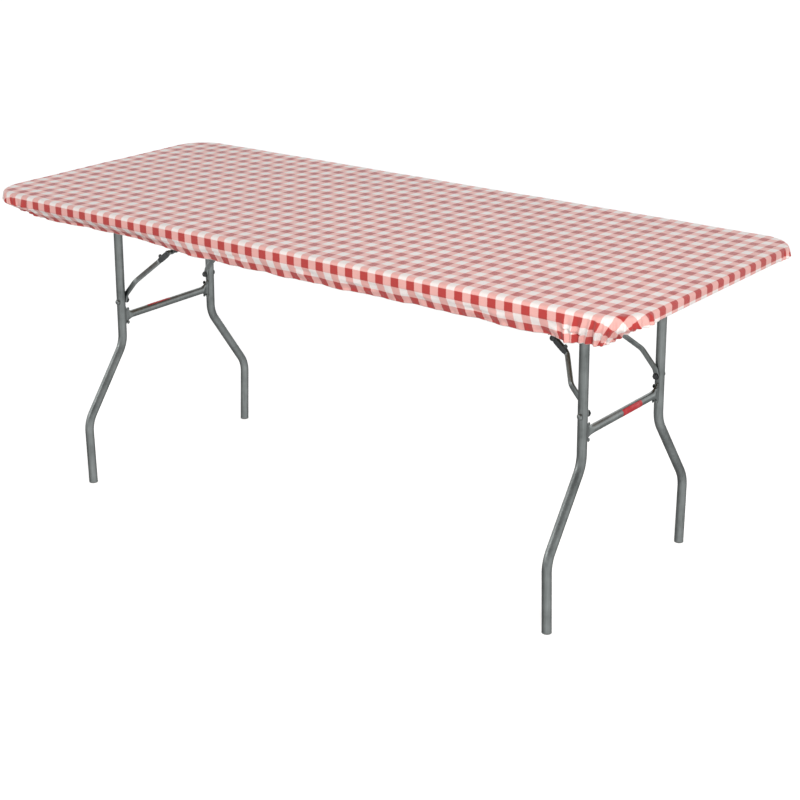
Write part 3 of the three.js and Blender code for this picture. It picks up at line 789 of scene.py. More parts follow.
def pleated(t, total, flat, outset, down):
    """The skirt's places round the cover once the elastic has pulled its cloth into pleats.

    Gives the outline's base points and outward directions, how proud of the outline the cloth
    stands, and the distance along the uncut hem.
    """
    sigma = running(np.hypot(*np.diff(flat[:, -1], axis=0).T))
    place = t[:, None] + (pulled_hem(t, sigma, total) - t)[:, None] * smooth(down, *PULL_IN)
    facing = outline_around(place)[1]
    at_corner = np.abs(facing[..., 0] * facing[..., 1]) > 1e-6
    widen = np.where(at_corner, (CORNER + outset) / CORNER, 1.0)
    flat_step = np.hypot(*np.moveaxis(np.gradient(flat, axis=0), 2, 0))
    share = blurred(np.gradient(place, axis=0) * widen / flat_step, BLUR_REACH)
    phase = 2 * math.pi * sigma / PLEAT + waves(sigma, PLEAT_DRIFT)
    radian = flat_step / np.gradient(phase)[:, None]
    share = np.clip(share, LEAST_SHARE, 1.0)
    along, proud, size = fold(share, phase[:, None] - PLEAT_SLANT * down, radian)
    settle = 1 - SETTLE_SHARE * smooth(down, *SETTLE_IN)
    proud = PLEAT_DEPTH * settle * (proud + size * (1 - smooth(down, *OFF_EDGE)))
    return *outline_around(place + along / widen), proud, sigma


def top_grid():
    """The middle of the top in rows along the table, as places and faces."""
    x, y = np.meshgrid(SPAN_X * (2 * crowded(CELLS_X) - 1), SPAN_Y * (2 * crowded(CELLS_Y) - 1))
    wide = CELLS_X + 1
    faces = []
    for row in range(0, CELLS_Y * wide, wide):
        for a in range(row, row + CELLS_X):
            faces.append((a, a + 1, a + 1 + wide, a + wide))
    return np.stack([x.ravel(), y.ravel()], 1), faces


def faces_round(roots, start, rings):
    """Faces of the rings round the grid. The first ring grows out of the grid vertices in roots."""
    count = len(roots)
    faces, previous = [], roots
    for ring in range(rings):
        current = range(start + ring * count, start + (ring + 1) * count)
        for i in range(count):
            j = (i + 1) % count
            face = (previous[i], current[i], current[j], previous[j])
            faces.append(face[:3] if previous[i] == previous[j] else face)
        previous = current
    return faces


def cover_shape():
    """Vertices, flat cloth places and faces of the cover's outer surface, and its hem line."""
    t, roots, total = outline_samples()
    base, out = outline_at(t)
    facing_long = smooth(np.abs(out[:, 1]), *FACING_LONG)
    x_on_side = np.where(out[:, 1] < 0, base[:, 0], -base[:, 0]) + CORNER_LEAD * out[:, 0]
    outset, height, down = skirt_sections(t, x_on_side, facing_long)
    side_flat = base[:, None] + out[:, None] * (CORNER - EDGE_ROLL + down)[..., None]
    near, facing, proud, sigma = pleated(t, total, side_flat, outset, down)

    facing_long = facing_long[:, None]
    gather = waves(sigma, GATHERS)[:, None] * GATHER_SIZE * smooth(down, *GATHER_IN) * facing_long
    swell = waves(t[:, None] + SWELL_LEAD * down, SWELL_ALONG)
    swell *= np.sin(down * 2 * math.pi / SWELL_PITCH + waves(t[:, None], SWELL_DRIFT))
    below_edge = smooth(down, *BELOW_EDGE)
    proud += gather + swell * SWELL_SIZE * below_edge * (1 - smooth(down, *SWELL_OUT))
    proud += tucked(x_on_side, down) * below_edge * facing_long
    xy = near + facing * (CORNER + outset + proud)[..., None]
    side_points = np.dstack([xy, CLOTH_TOP + height + GATHER_LIFT * gather])

    grid, faces = top_grid()
    reaches = [(CORNER - EDGE_ROLL) * ring / TOP_RINGS for ring in range(1, TOP_RINGS)]
    flat_top = np.vstack([grid, *(base + out * reach for reach in reaches)])
    level = np.full(len(flat_top), CLOTH_TOP)
    points = np.vstack([np.column_stack([flat_top, level]), *np.moveaxis(side_points, 1, 0)])
    flats = np.vstack([flat_top, *np.moveaxis(side_flat, 1, 0)])
    top_rows = points[:, 2] == CLOTH_TOP
    points[top_rows, 2] += top_wrinkles(points[top_rows, 0], points[top_rows, 1])
    faces += faces_round(roots, len(grid), len(reaches) + side_points.shape[1])
    return points, flats, faces, side_points[:, -1], side_flat[:, -1]


TOP_LIFT = 0.0006
PUCKER_IN = (0.0, 0.01)
PUCKER_OUT = (0.004, 0.09)
CREASE_WIDTH = 0.0045
CREASE_DITCH = 0.55
CREASE_APART = 0.009
CREASE_DITCH_WIDTH = 0.006

# Short creases on the top: middle, direction, length and height.
CREASES = [
    (0.879, -0.198, 1.24, 0.014, 0.0018),
    (0.881, -0.154, 1.37, 0.016, 0.0018),
    (0.872, -0.262, 1.10, 0.020, 0.0010),
    (0.790, -0.325, 0.5, 0.035, 0.0009),
    (-0.820, -0.300, 2.6, 0.040, 0.0009),
    (-0.700, 0.250, 0.7, 0.050, 0.0008),
    (0.620, 0.280, 2.7, 0.050, 0.0008),
]


def top_wrinkles(x, y):
    """Low swells all over, small puckers along the rim, and a few short creases near the right end."""
    swell = waves(x + 0.4 * y, TOP_SWELL_X) + waves(y - 0.3 * x, TOP_SWELL_Y)
    from_end, from_side = COVER_HIGH.x - np.abs(x), COVER_HIGH.y - np.abs(y)
    rim = np.minimum(from_end, from_side)
    pucker = waves(np.where(from_end < from_side, y, x), RIM_PUCKER)
    height = swell + pucker * (1 - smooth(rim, *PUCKER_OUT)) * smooth(rim, *PUCKER_IN)
    for centre_x, centre_y, angle, length, size in CREASES:
        ahead = (x - centre_x) * math.cos(angle) + (y - centre_y) * math.sin(angle)
        aside = -(x - centre_x) * math.sin(angle) + (y - centre_y) * math.cos(angle)
        ditch = CREASE_DITCH * np.exp(-((aside - CREASE_APART) / CREASE_DITCH_WIDTH) ** 2)
        ridge = np.exp(-(aside / CREASE_WIDTH) ** 2) - ditch
        height = height + size * ridge * np.exp(-(ahead / length) ** 4)
    return height + TOP_LIFT


def add_cover():
    points, flats, faces, hem_line, hem_flat = cover_shape()
    cover = mesh_object("gingham_cloth", points.tolist(), faces)
    mark_cloth(cover.data, flats)
    thickness = cover.modifiers.new("thickness", "SOLIDIFY")
    thickness.thickness = CLOTH_THICK
    thickness.offset = -1
    dress(cover, "top", "gingham", ["gingham_cover"], crease=75)
    hem = add_hem(hem_line, hem_flat)


# Distance from the cloth's middle line, and where that falls in the check: the skirt's rows are closer.
CHECK_SPACING = [(0, 0), (0.357, 0.357), (0.383, 0.3800), (0.483, 0.3800 + 0.1 * CHECK_Y / CHECK_X)]


ASKEW = 0.006
ASKEW_IN = (0.86, 0.93)


def mark_cloth(mesh, flats):
    """Stores each point's place on the flat cloth, which was pulled on a little askew at the right end."""
    flats = flats + [ASKEW, 0] * smooth(flats[:, :1], *ASKEW_IN)
    far = np.interp(np.abs(flats[:, 1]), *zip(*CHECK_SPACING))
    flats = np.column_stack([flats[:, 0], np.copysign(far, flats[:, 1])])
    attribute = mesh.attributes.new("cloth", "FLOAT_VECTOR", "POINT")
    padded = np.column_stack([flats, np.zeros(len(flats))]).astype(np.float32)
    attribute.data.foreach_set("vector", padded.ravel())


CASING_AROUND = 10
CASING_RADIUS = 0.0026
CASING_INSET = 0.0015
CASING_CLOTH = 0.004


def unit(rows):
    return rows / np.linalg.norm(rows, axis=1)[:, None]


def add_hem(line, flats):
    """The gathered casing that holds the elastic, sewn along the cover's inner edge."""
    count = len(line)
    ahead = unit(np.roll(line, -1, 0) - np.roll(line, 1, 0))
    side = unit(np.cross(ahead, [0, 0, 1]))
    up = np.cross(side, ahead)
    ruffle = 1 + waves(running(np.linalg.norm(np.diff(line, axis=0), axis=1)), CASING_RUFFLE)
    verts, flat, faces = [], [], []
    for i, angle in enumerate(turns(CASING_AROUND)):
        c, s = math.cos(angle), math.sin(angle)
        radius = (CASING_RADIUS * ruffle * (1 + 0.35 * abs(s)))[:, None]
        verts.append(line + side * radius * c + up * radius * 0.75 * s - side * CASING_INSET)
        flat.append(flats + side[:, :2] * CASING_CLOTH * s)
        row, after = i * count, (i + 1) % CASING_AROUND * count
        for j in range(count):
            k = (j + 1) % count
            faces.append((row + j, after + j, after + k, row + k))
    hem = mesh_object("cover_hem_casing", np.vstack(verts).tolist(), faces)
    mark_cloth(hem.data, np.vstack(flat))
    return dress(hem, "top", "gingham", ["hem_elastic"], crease=80)


# ---- legs and their fittings

LEG_SIDES = 48
LEG_BEND_STEPS = 14
ROUND = 32
HEAD_SIDES = 28
PIN_SIDES = 24
TIP_SIDES = 20

# (share of the foot's radius, height) of the glide's foot, and (radius, height) of its plug.
GLIDE_FOOT = [(0.86, 0), (0.97, 0.0004), (1, 0.0010), (1, 0.0021), (0.96, 0.0026)]
GLIDE_PLUG = [(0.0091, 0.0027), (0.0086, 0.004), (0.0083, 0.014), (0.0074, 0.0155)]
GLIDE_SIDES = 40

# Discs are (radius, height), and domes are (radius, height, height of the skirt below the dome).
BOLT_WASHER = (0.0079, 0.0011)
BOLT_HEAD = (0.0066, 0.0048, 0.0012)
BOLT_SHANK = (0.0039, 0.0290)
NUT_WASHER = (0.0080, 0.0010)
NUT = (0.0072, 0.0042)
BOLT_TIP = (0.0036, 0.0016, 0.0006)

# How far parts of the bolt stand out from the leg and, for the washer, nut and tip, from the arm.
WASHER_SUNK = 0.0004
HEAD_OUT = 0.0009
SHANK_OUT = 0.0015
NUT_OUT = (0.0001, 0.0009, 0.0048)

# A rod is (radius, (how far its chamfer goes in, how far along)).
PIVOT_ROD = (0.0058, (0.001, 0.0008))
ANCHOR_ROD = (0.0039, (0.0006, 0.0006))
PIVOT_HEAD = (0.0085, 0.003, 0.0012)
ANCHOR_HEAD = (0.0065, 0.0025, 0.001)
KNUCKLE_PIN = (0.0034, 0.0080)
KNUCKLE_HEAD = (0.0066, 0.0034, 0.0010)
KNUCKLE_HEAD_OUT = 0.0058

# The chamfered corners of a nut: (share of its depth, share of its radius).
NUT_LEVELS = [(0, 0.93), (0.12, 1.0), (0.86, 1.0), (1, 0.9)]
RIVET_PROFILE = [
    (0, 0), (0.0044, 0), (0.0046, 0.0008), (0.0038, 0.0016), (0.0026, 0.0014), (0.0022, 0.0004),
]
RIVET_FACE = 0.0046
FISHTAIL_HALF_THICK = 0.0048
FISHTAIL_STEPS = 16
BAR_STEPS = 12
BAR_SIDES = 40

LABEL_GAP = 0.00005
LABEL_THICK = 0.00025
LABEL_EDGE = 0.0006
LABEL_STEPS = 24
LABEL_START = {"right": -2.07, "left": 1.07}


def make_on_legs(name, end, slot, shells, replaces=(), **looks):
    """A piece of a leg pair. Its shells are in the pair's own frame, hanging straight down from its pivot."""
    lean = Matrix.Rotation(-ENDS[end] * LEG_LEAN, 4, "Y")
    place = Matrix.Translation((ENDS[end] * PIVOT.x, 0, PIVOT.z)) @ lean
    make(name, f"{end}_legs", slot, [moved(shell, place) for shell in shells], replaces, **looks)


def add_leg(end, side):
    sy = SIDES[side]
    corners = [
        Vector((0, sy * LEG_UPPER_Y, LEG_ABOVE_PIVOT)),
        Vector((0, sy * LEG_UPPER_Y, UPPER_BEND_Z - PIVOT.z)),
        Vector((0, sy * LEG_LOWER_Y, LOWER_BEND_Z - PIVOT.z)),
        Vector((0, sy * FOOT_Y, FOOT_GAP - PIVOT.z)),
    ]
    path = bent(corners, LEG_BEND_RADIUS, LEG_BEND_STEPS)
    tube = pipe(path, circle(LEG_RADIUS, LEG_SIDES), circle(LEG_RADIUS - LEG_WALL, LEG_SIDES), AXIS_X)
    make_on_legs(f"{end}_leg_tube_{side}", end, "zinc", [tube], [f"{end}_leg_{side}"], bevel=0.0004)


def add_glide(end, side):
    node = f"{end}_foot_glide_{side}"
    low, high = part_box(node)
    foot = [((high.x - low.x) / 2 * share, height) for share, height in GLIDE_FOOT]
    profile = [(0, 0), *foot, *GLIDE_PLUG, (0, GLIDE_PLUG[-1][1])]
    centre = middle(node)
    glide = lathe(profile, GLIDE_SIDES, Vector((centre.x, centre.y, low.z)), AXIS_Z)
    make(f"{end}_glide_{side}", f"{end}_legs", "glide", [glide], [node])


def hexagon(radius, depth, place, axis):
    """A nut with chamfered corners, standing on place along axis."""
    turn = axis.to_track_quat("Z", "Y")
    verts = []
    for level, share in NUT_LEVELS:
        verts += [place + turn @ Vector((a, b, depth * level)) for a, b in circle(radius * share, 6)]
    faces = [*ring_faces(4, 6), tuple(range(5, -1, -1)), tuple(range(18, 24))]
    return outward(verts, faces)


def add_brace_bolt(end, side):
    """Domed head and washer outside the leg, shank through leg and arm, washer and nut inside."""
    sy = SIDES[side]
    outside = Vector((0, sy, 0))
    head_face = LEG_UPPER_Y + LEG_RADIUS - WASHER_SUNK
    nut_face = ARM_LEG_Y - STRAP_HALF_THICK

    def at(y):
        return Vector((0, sy * y, -BOLT_DROP))

    bolt = [
        lathe(disc(*BOLT_WASHER), ROUND, at(head_face), outside),
        lathe(dome(*BOLT_HEAD), ROUND, at(head_face + HEAD_OUT), outside),
        lathe(disc(*BOLT_SHANK), PIN_SIDES, at(nut_face - SHANK_OUT), outside),
    ]
    nut = [
        lathe(disc(*NUT_WASHER), ROUND, at(nut_face - NUT_OUT[0]), -outside),
        hexagon(*NUT, at(nut_face - NUT_OUT[1]), -outside),
        lathe(dome(*BOLT_TIP), TIP_SIDES, at(nut_face - NUT_OUT[2]), -outside),
    ]
    replaced = [f"{end}_brace_bolt_{side}"]
    make_on_legs(f"{end}_brace_bolt_set_{side}", end, "zinc", bolt, replaced, bevel=0.0003)
    make_on_legs(f"{end}_brace_nut_{side}", end, "zinc_dark", nut, bevel=0.0003)


def headed_rod(half, radius, chamfer, head, count, place):
    """A chamfered rod along Y, reaching half its length each way from place, with two domed heads."""
    inset, depth = chamfer
    near = [(0, -half), (radius - inset, -half), (radius, -half + depth)]
    shells = [lathe(near + [(r, -h) for r, h in reversed(near)], count, place, AXIS_Y)]
    for sy in SIDES.values():
        at_end = place + Vector((0, sy * (half - head[1]), 0))
        shells.append(lathe(dome(*head), count, at_end, Vector((0, sy, 0))))
    return shells


def add_pivot_rod(end):
    half = high_corner(f"{end}_pivot_rod").y
    rod = headed_rod(half, *PIVOT_ROD, PIVOT_HEAD, ROUND, Vector((0, 0, 0)))
    make_on_legs(f"{end}_pivot_rod_shaft", end, "zinc", rod, [f"{end}_pivot_rod"])


def squared(tall, thick, power):
    """An oval section that comes closer to a rectangle as power falls from 1."""
    points = []
    for angle in turns(BAR_SIDES):
        c, s = math.cos(angle), math.sin(angle)
        points.append((tall * math.copysign(abs(c) ** power, c), thick * math.copysign(abs(s) ** power, s)))
    return points


def add_cross_bar(end):
    """A round tube whose ends are pressed into upright fishtails and riveted to the legs."""
    z = BAR_Z - PIVOT.z
    straight = BAR_END_Y - FISHTAIL_LENGTH
    tail = [straight + FISHTAIL_LENGTH * i / FISHTAIL_STEPS for i in range(1, FISHTAIL_STEPS + 1)]
    places = [straight * i / BAR_STEPS for i in range(-BAR_STEPS, BAR_STEPS + 1)]
    places = [-y for y in reversed(tail)] + places + tail
    sections = []
    for y in places:
        share = max(0.0, (abs(y) - straight) / FISHTAIL_LENGTH)
        flatness = math.sin(min(1.0, share * 1.6) * math.pi / 2) ** 2
        tall = BAR_RADIUS + (FISHTAIL_HALF_HEIGHT - BAR_RADIUS) * share ** 1.7
        thick = BAR_RADIUS + (FISHTAIL_HALF_THICK - BAR_RADIUS) * flatness
        sections.append(squared(tall, thick, 1.0 - 0.35 * share))
    bar = sweep([Vector((0, y, z)) for y in places], sections, AXIS_X)
    make_on_legs(f"{end}_cross_bar_tube", end, "zinc", [bar], [f"{end}_cross_bar"], crease=50)
    profile = [*RIVET_PROFILE, (0, RIVET_PROFILE[-1][1])]
    rivets = []
    for sy, up, face in itertools.product(SIDES.values(), (-1, 1), (-1, 1)):
        y = sy * (BAR_END_Y - FISHTAIL_RIVET_INSET)
        foot = Vector((face * RIVET_FACE, y, z + up * FISHTAIL_RIVET_DROP))
        rivets.append(lathe(profile, PIN_SIDES, foot, Vector((face, 0, 0))))
    make_on_legs(f"{end}_fishtail_rivets", end, "zinc", rivets)


def add_label(end):
    """A plain label wrapped half way round the cross bar, thinner along its two round edges."""
    node = f"{end}_bar_sticker"
    low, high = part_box(node)
    angles = [LABEL_START[end] + math.pi * i / LABEL_STEPS for i in range(LABEL_STEPS + 1)]

    def section(thick):
        inner, outer = BAR_RADIUS + LABEL_GAP, BAR_RADIUS + LABEL_GAP + thick
        layers = [(inner, a) for a in angles] + [(outer, a) for a in reversed(angles)]
        return [(radius * math.sin(a), radius * math.cos(a)) for radius, a in layers]

    places = (low.y, low.y + LABEL_EDGE, high.y - LABEL_EDGE, high.y)
    path = [Vector((0, y, BAR_Z - PIVOT.z)) for y in places]
    thin, full = section(LABEL_THICK / 2), section(LABEL_THICK)
    label = sweep(path, [thin, full, full, thin], AXIS_X)
    make_on_legs(f"{end}_red_label", end, "sticker", [label], [node])


# ---- braces

STRAP_EDGE = 0.0030
STRAP_END_STEPS = 8
ARM_BEND_RADIUS = 0.024
ARM_STEP = 0.012
UPPER_ARM_STEP = 0.015
ARM_RISE = (0.005, 0.017)
CLEVIS_HALF = (0.0074, 0.0047)
CLEVIS_SHARES = (0.80, 0.97, 1.0, 1.0, 1.0, 1.0, 0.97, 0.75)
CLEVIS_OUT = 0.0012
CLEVIS_START = 0.002
CLEVIS_STEP = 0.0056
TAB_PLACE = 0.012
TAB_START = 0.003
TAB_STEP = 0.0024
TAB_HALF = (0.0048, 0.0032)
TAB_SHARES = (1.1, 1.05, 1.0, 0.92, 0.6)
LOCK_PLAY = 0.0005
LOCK_WALL = 0.0014
LOCK_ROUND = (0.0028, 0.0016)
LOCK_STEPS = 8


def strap(path):
    """A flat bar with rolled edges and half-round ends, its flat faces looking along Y."""
    full = rounded_box(STRAP_HALF_WIDTH, STRAP_HALF_THICK, STRAP_EDGE, 6)
    angles = [math.radians(8 + 82 * step / STRAP_END_STEPS) for step in range(STRAP_END_STEPS + 1)]
    into = (path[1] - path[0]).normalized()
    back = (path[-2] - path[-1]).normalized()
    start = [path[0] - into * (STRAP_HALF_WIDTH * math.cos(a)) for a in angles]
    stop = [path[-1] - back * (STRAP_HALF_WIDTH * math.cos(a)) for a in reversed(angles)]
    round_end = [math.sin(a) for a in angles]
    widths = round_end + [1.0] * (len(path) - 2) + round_end[::-1]
    sections = [[(a * w, b * min(1.0, 0.35 + w)) for a, b in full] for w in widths]
    return sweep(start + path[1:-1] + stop, sections, AXIS_Y)


def arm_point(end, side, x, y, z):
    return Vector((ENDS[end] * x, SIDES[side] * y, z))


def add_lower_arm(end, side):
    spots = [
        (BOLT.x, ARM_LEG_Y, BOLT.z),
        (BOLT.x - ARM_RISE[0], ARM_LEG_Y, BOLT.z + ARM_RISE[1]),
        (LOWER_ARM_KNEE[0], ARM_LEG_Y, LOWER_ARM_KNEE[1]),
        (LOWER_ARM_JOG[0], ARM_KNUCKLE_Y, LOWER_ARM_JOG[1]),
        (KNUCKLE.x, ARM_KNUCKLE_Y, KNUCKLE.z),
    ]
    corners = [arm_point(end, side, *spot) for spot in spots]
    shell = strap(divided(bent(corners, ARM_BEND_RADIUS, 9), ARM_STEP))
    body = f"{end}_lower_arm_{side}"
    make(f"{body}_strap", body, "zinc", [shell], [body], crease=50)


def add_shade_clevis(end, side):
    """A pressed fitting round the knuckle end of the lower arm, with its stop tab, in dark zinc: painted shade
    where the bent arm lies in shade.
    """
    y = ARM_KNUCKLE_Y + CLEVIS_OUT
    start = arm_point(end, side, LOWER_ARM_JOG[0], y, LOWER_ARM_JOG[1])
    ahead = (arm_point(end, side, KNUCKLE.x, y, KNUCKLE.z) - start).normalized()
    path = [start + ahead * (CLEVIS_START + CLEVIS_STEP * i) for i in range(len(CLEVIS_SHARES))]
    sections = []
    for share in CLEVIS_SHARES:
        wide, thick = CLEVIS_HALF[0] * share, CLEVIS_HALF[1] * (0.7 + 0.3 * share)
        sections.append(rounded_box(wide, thick, min(0.003, thick * 0.6), 5))
    up = AXIS_Y.cross(ahead).normalized()
    if up.z < 0:
        up = -up
    root = start + ahead * TAB_PLACE
    tab = [root + up * (TAB_START + TAB_STEP * i) for i in range(len(TAB_SHARES))]
    tab_sections = [rounded_box(TAB_HALF[0] * s, TAB_HALF[1] * s, 0.002 * s, 4) for s in TAB_SHARES]
    shells = [sweep(path, sections, AXIS_Y), sweep(tab, tab_sections, AXIS_Y)]
    # The fitting's dark zinc is painted shade at the knuckle.
    make(f"{end}_knuckle_shade_clevis_{side}", f"{end}_lower_arm_{side}", "zinc_dark", shells, crease=50)


def upper_arm_ends(end, side):
    return [arm_point(end, side, pin.x, UPPER_ARM_Y, pin.z) for pin in (KNUCKLE, ANCHOR)]


def add_upper_arm(end, side):
    body = f"{end}_upper_arm_{side}"
    shell = strap(divided(upper_arm_ends(end, side), UPPER_ARM_STEP))
    make(f"{body}_strap", body, "zinc", [shell], [body], crease=50)


def add_knuckle_rivet(end, side):
    node = f"{end}_knuckle_rivet_{side}"
    outside = Vector((0, SIDES[side], 0))
    inner = min(abs(corner.y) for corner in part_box(node))
    pin_place = arm_point(end, side, KNUCKLE.x, inner, KNUCKLE.z)
    head_place = arm_point(end, side, KNUCKLE.x, ARM_KNUCKLE_Y + KNUCKLE_HEAD_OUT, KNUCKLE.z)
    shells = [
        lathe(disc(*KNUCKLE_PIN), PIN_SIDES, pin_place, outside),
        lathe(dome(*KNUCKLE_HEAD), HEAD_SIDES, head_place, outside),
    ]
    make(f"{end}_knuckle_pin_{side}", f"{end}_lower_arm_{side}", "zinc_dark", shells, [node])


def add_lock(end, side):
    """The sliding lock: a folded sleeve with rolled lips round the upper arm."""
    start, stop = upper_arm_ends(end, side)
    ahead = (stop - start).normalized()
    stations = [LOCK_START + LOCK_LENGTH * i / LOCK_STEPS for i in range(LOCK_STEPS + 1)]

    def section(past, radius):
        return rounded_box(STRAP_HALF_WIDTH + past, STRAP_HALF_THICK + past, radius, 6)

    outer = section(LOCK_PLAY + LOCK_WALL, LOCK_ROUND[0])
    inner = section(LOCK_PLAY, LOCK_ROUND[1])
    shell = pipe([start + ahead * s for s in stations], outer, inner, AXIS_Y)
    name = f"{end}_lock_sleeve_{side}"
    make(f"{name}_shell", f"{end}_lock_{side}", "zinc_dark", [shell], [name], bevel=0.0004)


# ---- fittings under the top

SHEET = 0.0025
SCREW_PROFILE = [
    (0, 0), (0.0020, 0), (0.0042, 0.0012), (0.0042, 0.0016),
    (0.0030, 0.0024), (0.0011, 0.0026), (0.0009, 0.0014), (0, 0.0012),
]
SCREW_SUNK = 0.0002
EAR_PLAY = 0.0007

# A hanger's (corner radius, ear radius, (bore radius, sides of the bore)).
BRACKET = (0.006, 0.014, (0.0063, HEAD_SIDES))
BRACE_ANCHOR = (0.005, 0.007, (0.0043, PIN_SIDES))
BRACKET_SCREWS = [(x, y) for x in (-0.022, 0.022) for y in (-0.009, 0.009)]
ANCHOR_SCREWS = [(x, y) for x in (-0.009, 0.009) for y in (-0.07, 0.0, 0.07)]


def ear_outline(z, top, radius):
    """A tongue with a round lower end about the bore and a straight root at the top."""
    arc = [(radius * math.cos(a), z + radius * math.sin(a)) for a in np.linspace(math.pi, 2 * math.pi, 19)]
    return [*arc, (radius, top), (-radius, top)]


def hanger(node, ears, pin_z, corner, ear_radius, bore):
    """A base plate with ears at the given places along Y, bored for a pin."""
    low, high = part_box(node)
    centre, half = (low + high) / 2, (high - low) / 2

    def base(u, v, w):
        return centre.x + u, centre.y + v, high.z + w

    shells = [plate(rounded_box(half.x, half.y, corner, 6), [], -SHEET, 0, base)]
    hole = [(a, pin_z + b) for a, b in circle(*bore)]
    outline = ear_outline(pin_z, high.z - SHEET * 0.5, ear_radius)
    for near in ears:
        shells.append(plate(outline, [hole], -SHEET / 2, SHEET / 2,
                            lambda u, v, w, y=near: (centre.x + u, y + w, v)))
    return shells


def screws(node, spots):
    """Countersunk cross-head screws, heads down, at spots measured from the middle of a base plate."""
    centre = middle(node)
    z = high_corner(node).z - SHEET + SCREW_SUNK
    places = [Vector((centre.x + x, centre.y + y, z)) for x, y in spots]
    return [lathe(SCREW_PROFILE, TIP_SIDES, place, -AXIS_Z) for place in places]


def add_bracket(end, side):
    node = f"{end}_leg_bracket_{side}"
    low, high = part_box(node)
    ears = (low.y + SHEET / 2, high.y - SHEET / 2)
    saddle = hanger(node, ears, PIVOT.z, *BRACKET)
    make(f"{node}_saddle", "top", "zinc", saddle, [node])
    make(f"{end}_bracket_screws_{side}", "top", "zinc_dark", screws(node, BRACKET_SCREWS))


def add_anchor(end):
    node = f"{end}_brace_anchor"
    apart = STRAP_HALF_THICK + EAR_PLAY + SHEET / 2
    ears = [sy * UPPER_ARM_Y + face * apart for sy in SIDES.values() for face in (-1, 1)]
    rail = hanger(node, ears, ANCHOR.z, *BRACE_ANCHOR)
    make(f"{node}_rail", "top", "zinc", rail, [node])
    make(f"{end}_anchor_screws", "top", "zinc_dark", screws(node, ANCHOR_SCREWS))
    half = high_corner(f"{end}_anchor_rod").y
    place = Vector((ENDS[end] * ANCHOR.x, 0, ANCHOR.z))
    rod = headed_rod(half, *ANCHOR_ROD, ANCHOR_HEAD, HEAD_SIDES, place)
    make(f"{end}_anchor_rod_shaft", "top", "zinc", rod, [f"{end}_anchor_rod"])


CARRIED_EDGE = 0.0006
CARRIED = {
    "tabletop_panel": "plywood",
    "edge_batten": "batten",
    "edge_strip": "edging",
    "corner_guard": "edging",
}


def finish_carried_nodes():
    """The CAD's wooden top and its rim keep their shapes, with soft edges and real finishes."""
    for name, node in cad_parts.items():
        for start, slot in CARRIED.items():
            if name.startswith(start):
                node.data.materials.clear()
                node.data.materials.append(MATERIALS[slot])
                soften(node, CARRIED_EDGE)


# ---- stage


LENS = 79.33
AZIMUTH = 0.6466
ELEVATION = 0.3511
DISTANCE = 4.0827
TARGET = Vector((0.1899, -0.1456, 0.3800))
STAGE_REACH = 30.0

# The light from the sky: (place from straight down to straight up, brightness).
SKY = [(0.50, 1.0), (0.68, 0.93), (0.78, 0.56), (1.0, 0.36)]
SKY_AHEAD = (0.6, -0.8, 0.0)
SKY_BACK = 1.15
SKY_FRONT = 0.62
BELOW_AHEAD = (0.85, -0.53, 0.0)
BELOW_BACK = 0.22
BELOW_FRONT = 0.74


def add_camera():
    data = bpy.data.cameras.new("camera")
    data.lens = LENS
    data.sensor_width = 36
    data.clip_end = 2 * STAGE_REACH
    camera = add_object("camera", data)
    flat = math.cos(ELEVATION)
    back = Vector((math.sin(AZIMUTH) * flat, -math.cos(AZIMUTH) * flat, math.sin(ELEVATION)))
    camera.location = TARGET + back * DISTANCE
    camera.rotation_euler = (-back).to_track_quat("-Z", "Y").to_euler()
    bpy.context.scene.camera = camera


# Each lamp's name, place, target, size, power, tint, and whether it is mirrored in shiny things.
LAMPS = [
    ("key", (3.0, -3.0, 2.3), (0.3, 0.0, 0.7), (0.8, 0.8), 110, (1.0, 0.97, 0.94), False),
    ("fill", (-2.6, -3.2, 2.2), (0.0, 0.0, 0.6), (1.2, 1.2), 14, (1.0, 0.98, 0.97), True),
]


def add_light(name, place, target, size, power, tint, glossy):
    data = bpy.data.lights.new(name, "AREA")
    data.shape = "RECTANGLE"
    data.size, data.size_y = size
    data.energy = power
    data.color = tint
    light = add_object(name, data)
    light.location = place
    light.rotation_euler = (Vector(target) - Vector(place)).to_track_quat("-Z", "Y").to_euler()
    light.visible_glossy = glossy


def stage_piece(name, bm, nodes):
    """A piece that the camera sees but that lights nothing: the world and the lamps do that."""
    mesh = bpy.data.meshes.new(name)
    bm.to_mesh(mesh)
    bm.free()
    mesh.materials.append(nodes.owner)
    piece = add_object(name, mesh)
    piece.visible_diffuse = False
    piece.visible_glossy = False
    piece.visible_shadow = False


def add_floor():
    bm = bmesh.new()
    bmesh.ops.create_grid(bm, x_segments=1, y_segments=1, size=STAGE_REACH)
    nodes = Nodes("floor")
    speckle = nodes.noise(nodes.object_place(), 3.0, 2.0)
    base = nodes.mix(speckle, (0.90, 0.90, 0.90, 1), (0.92, 0.92, 0.92, 1))
    nodes.finish(Base_Color=base, Roughness=0.9, Specular_IOR_Level=0.1)
    nodes.finish(Emission_Color=(1, 1, 1, 1), Emission_Strength=0.58)
    stage_piece("studio_floor", bm, nodes)


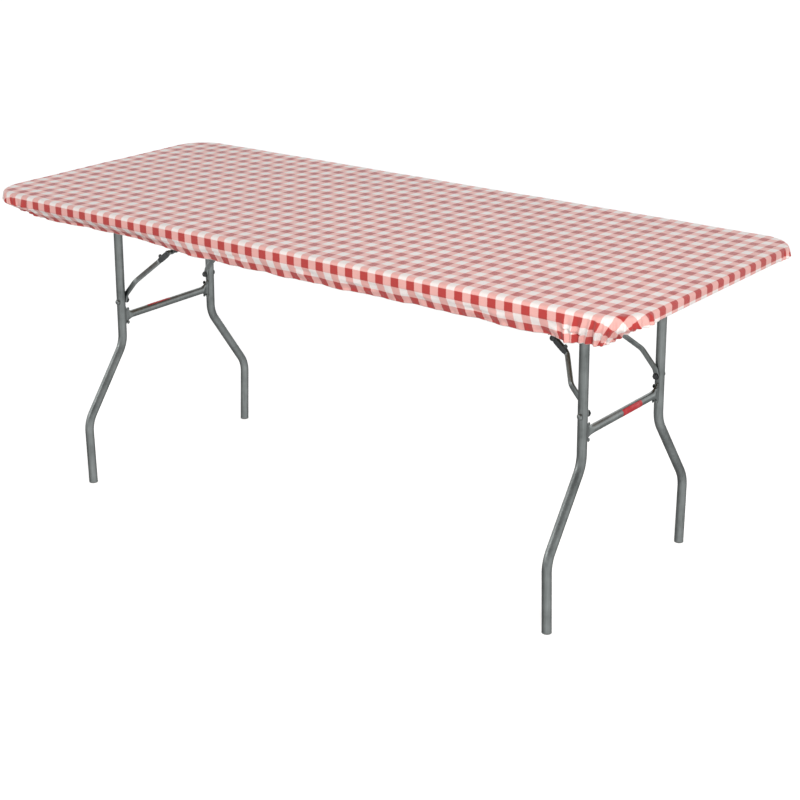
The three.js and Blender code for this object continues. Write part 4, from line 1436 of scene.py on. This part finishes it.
def add_backdrop():
    """A white dome round the floor."""
    bm = bmesh.new()
    bmesh.ops.create_icosphere(bm, subdivisions=3, radius=STAGE_REACH)
    nodes = Nodes("backdrop")
    tone = nodes.spread(nodes.noise(nodes.object_place(), 0.1, 1.0), 0.0, 1.0, 0.98, 1.0)
    nodes.finish(Base_Color=(0, 0, 0, 1), Emission_Color=nodes.grey(tone), Emission_Strength=1.05)
    stage_piece("studio_dome", bm, nodes)


def add_world():
    """Soft light: brightest low down behind the table, dim from below except towards the front."""
    nodes = Nodes("studio", "worlds", "Background")
    coordinate = nodes.add("ShaderNodeTexCoord").outputs["Generated"]

    def along(direction):
        inputs = {0: coordinate, 1: direction}
        return nodes.add("ShaderNodeVectorMath", inputs, operation="DOT_PRODUCT").outputs["Value"]

    height = along((0.0, 0.0, 1.0))
    by_height = nodes.add("ShaderNodeValToRGB", {0: nodes.spread(height, -1.0, 1.0, 0.0, 1.0)})
    stops = by_height.color_ramp.elements
    for place, grey in SKY[:-1]:
        stops.new(place).color = (grey, grey, grey, 1)
    stops[-1].color = (SKY[-1][1], SKY[-1][1], SKY[-1][1], 1)
    towards = nodes.spread(along(SKY_AHEAD), -0.8, 0.8, SKY_BACK, SKY_FRONT)
    above = nodes.math("MULTIPLY", by_height.outputs[0], towards)
    below = nodes.spread(along(BELOW_AHEAD), -0.4, 0.8, BELOW_BACK, BELOW_FRONT)
    inputs = {0: nodes.spread(height, -0.12, 0.04, 0.0, 1.0), 2: below, 3: above}
    nodes.finish(Color=(1, 1, 1, 1), Strength=nodes.add("ShaderNodeMix", inputs).outputs[0])
    bpy.context.scene.world = nodes.owner


def add_stage():
    add_camera()
    add_floor()
    add_backdrop()
    add_world()
    for lamp in LAMPS:
        add_light(*lamp)
    bpy.context.scene.view_settings.view_transform = "Standard"


# ---- assembly

add_stage()
add_cover()
finish_carried_nodes()
BY_SIDE = (
    add_leg, add_glide, add_brace_bolt, add_bracket, add_lower_arm,
    add_shade_clevis, add_upper_arm, add_knuckle_rivet, add_lock,
)
for end in ENDS:
    for side, add in itertools.product(SIDES, BY_SIDE):
        add(end, side)
    for add in (add_pivot_rod, add_cross_bar, add_label, add_anchor):
        add(end)
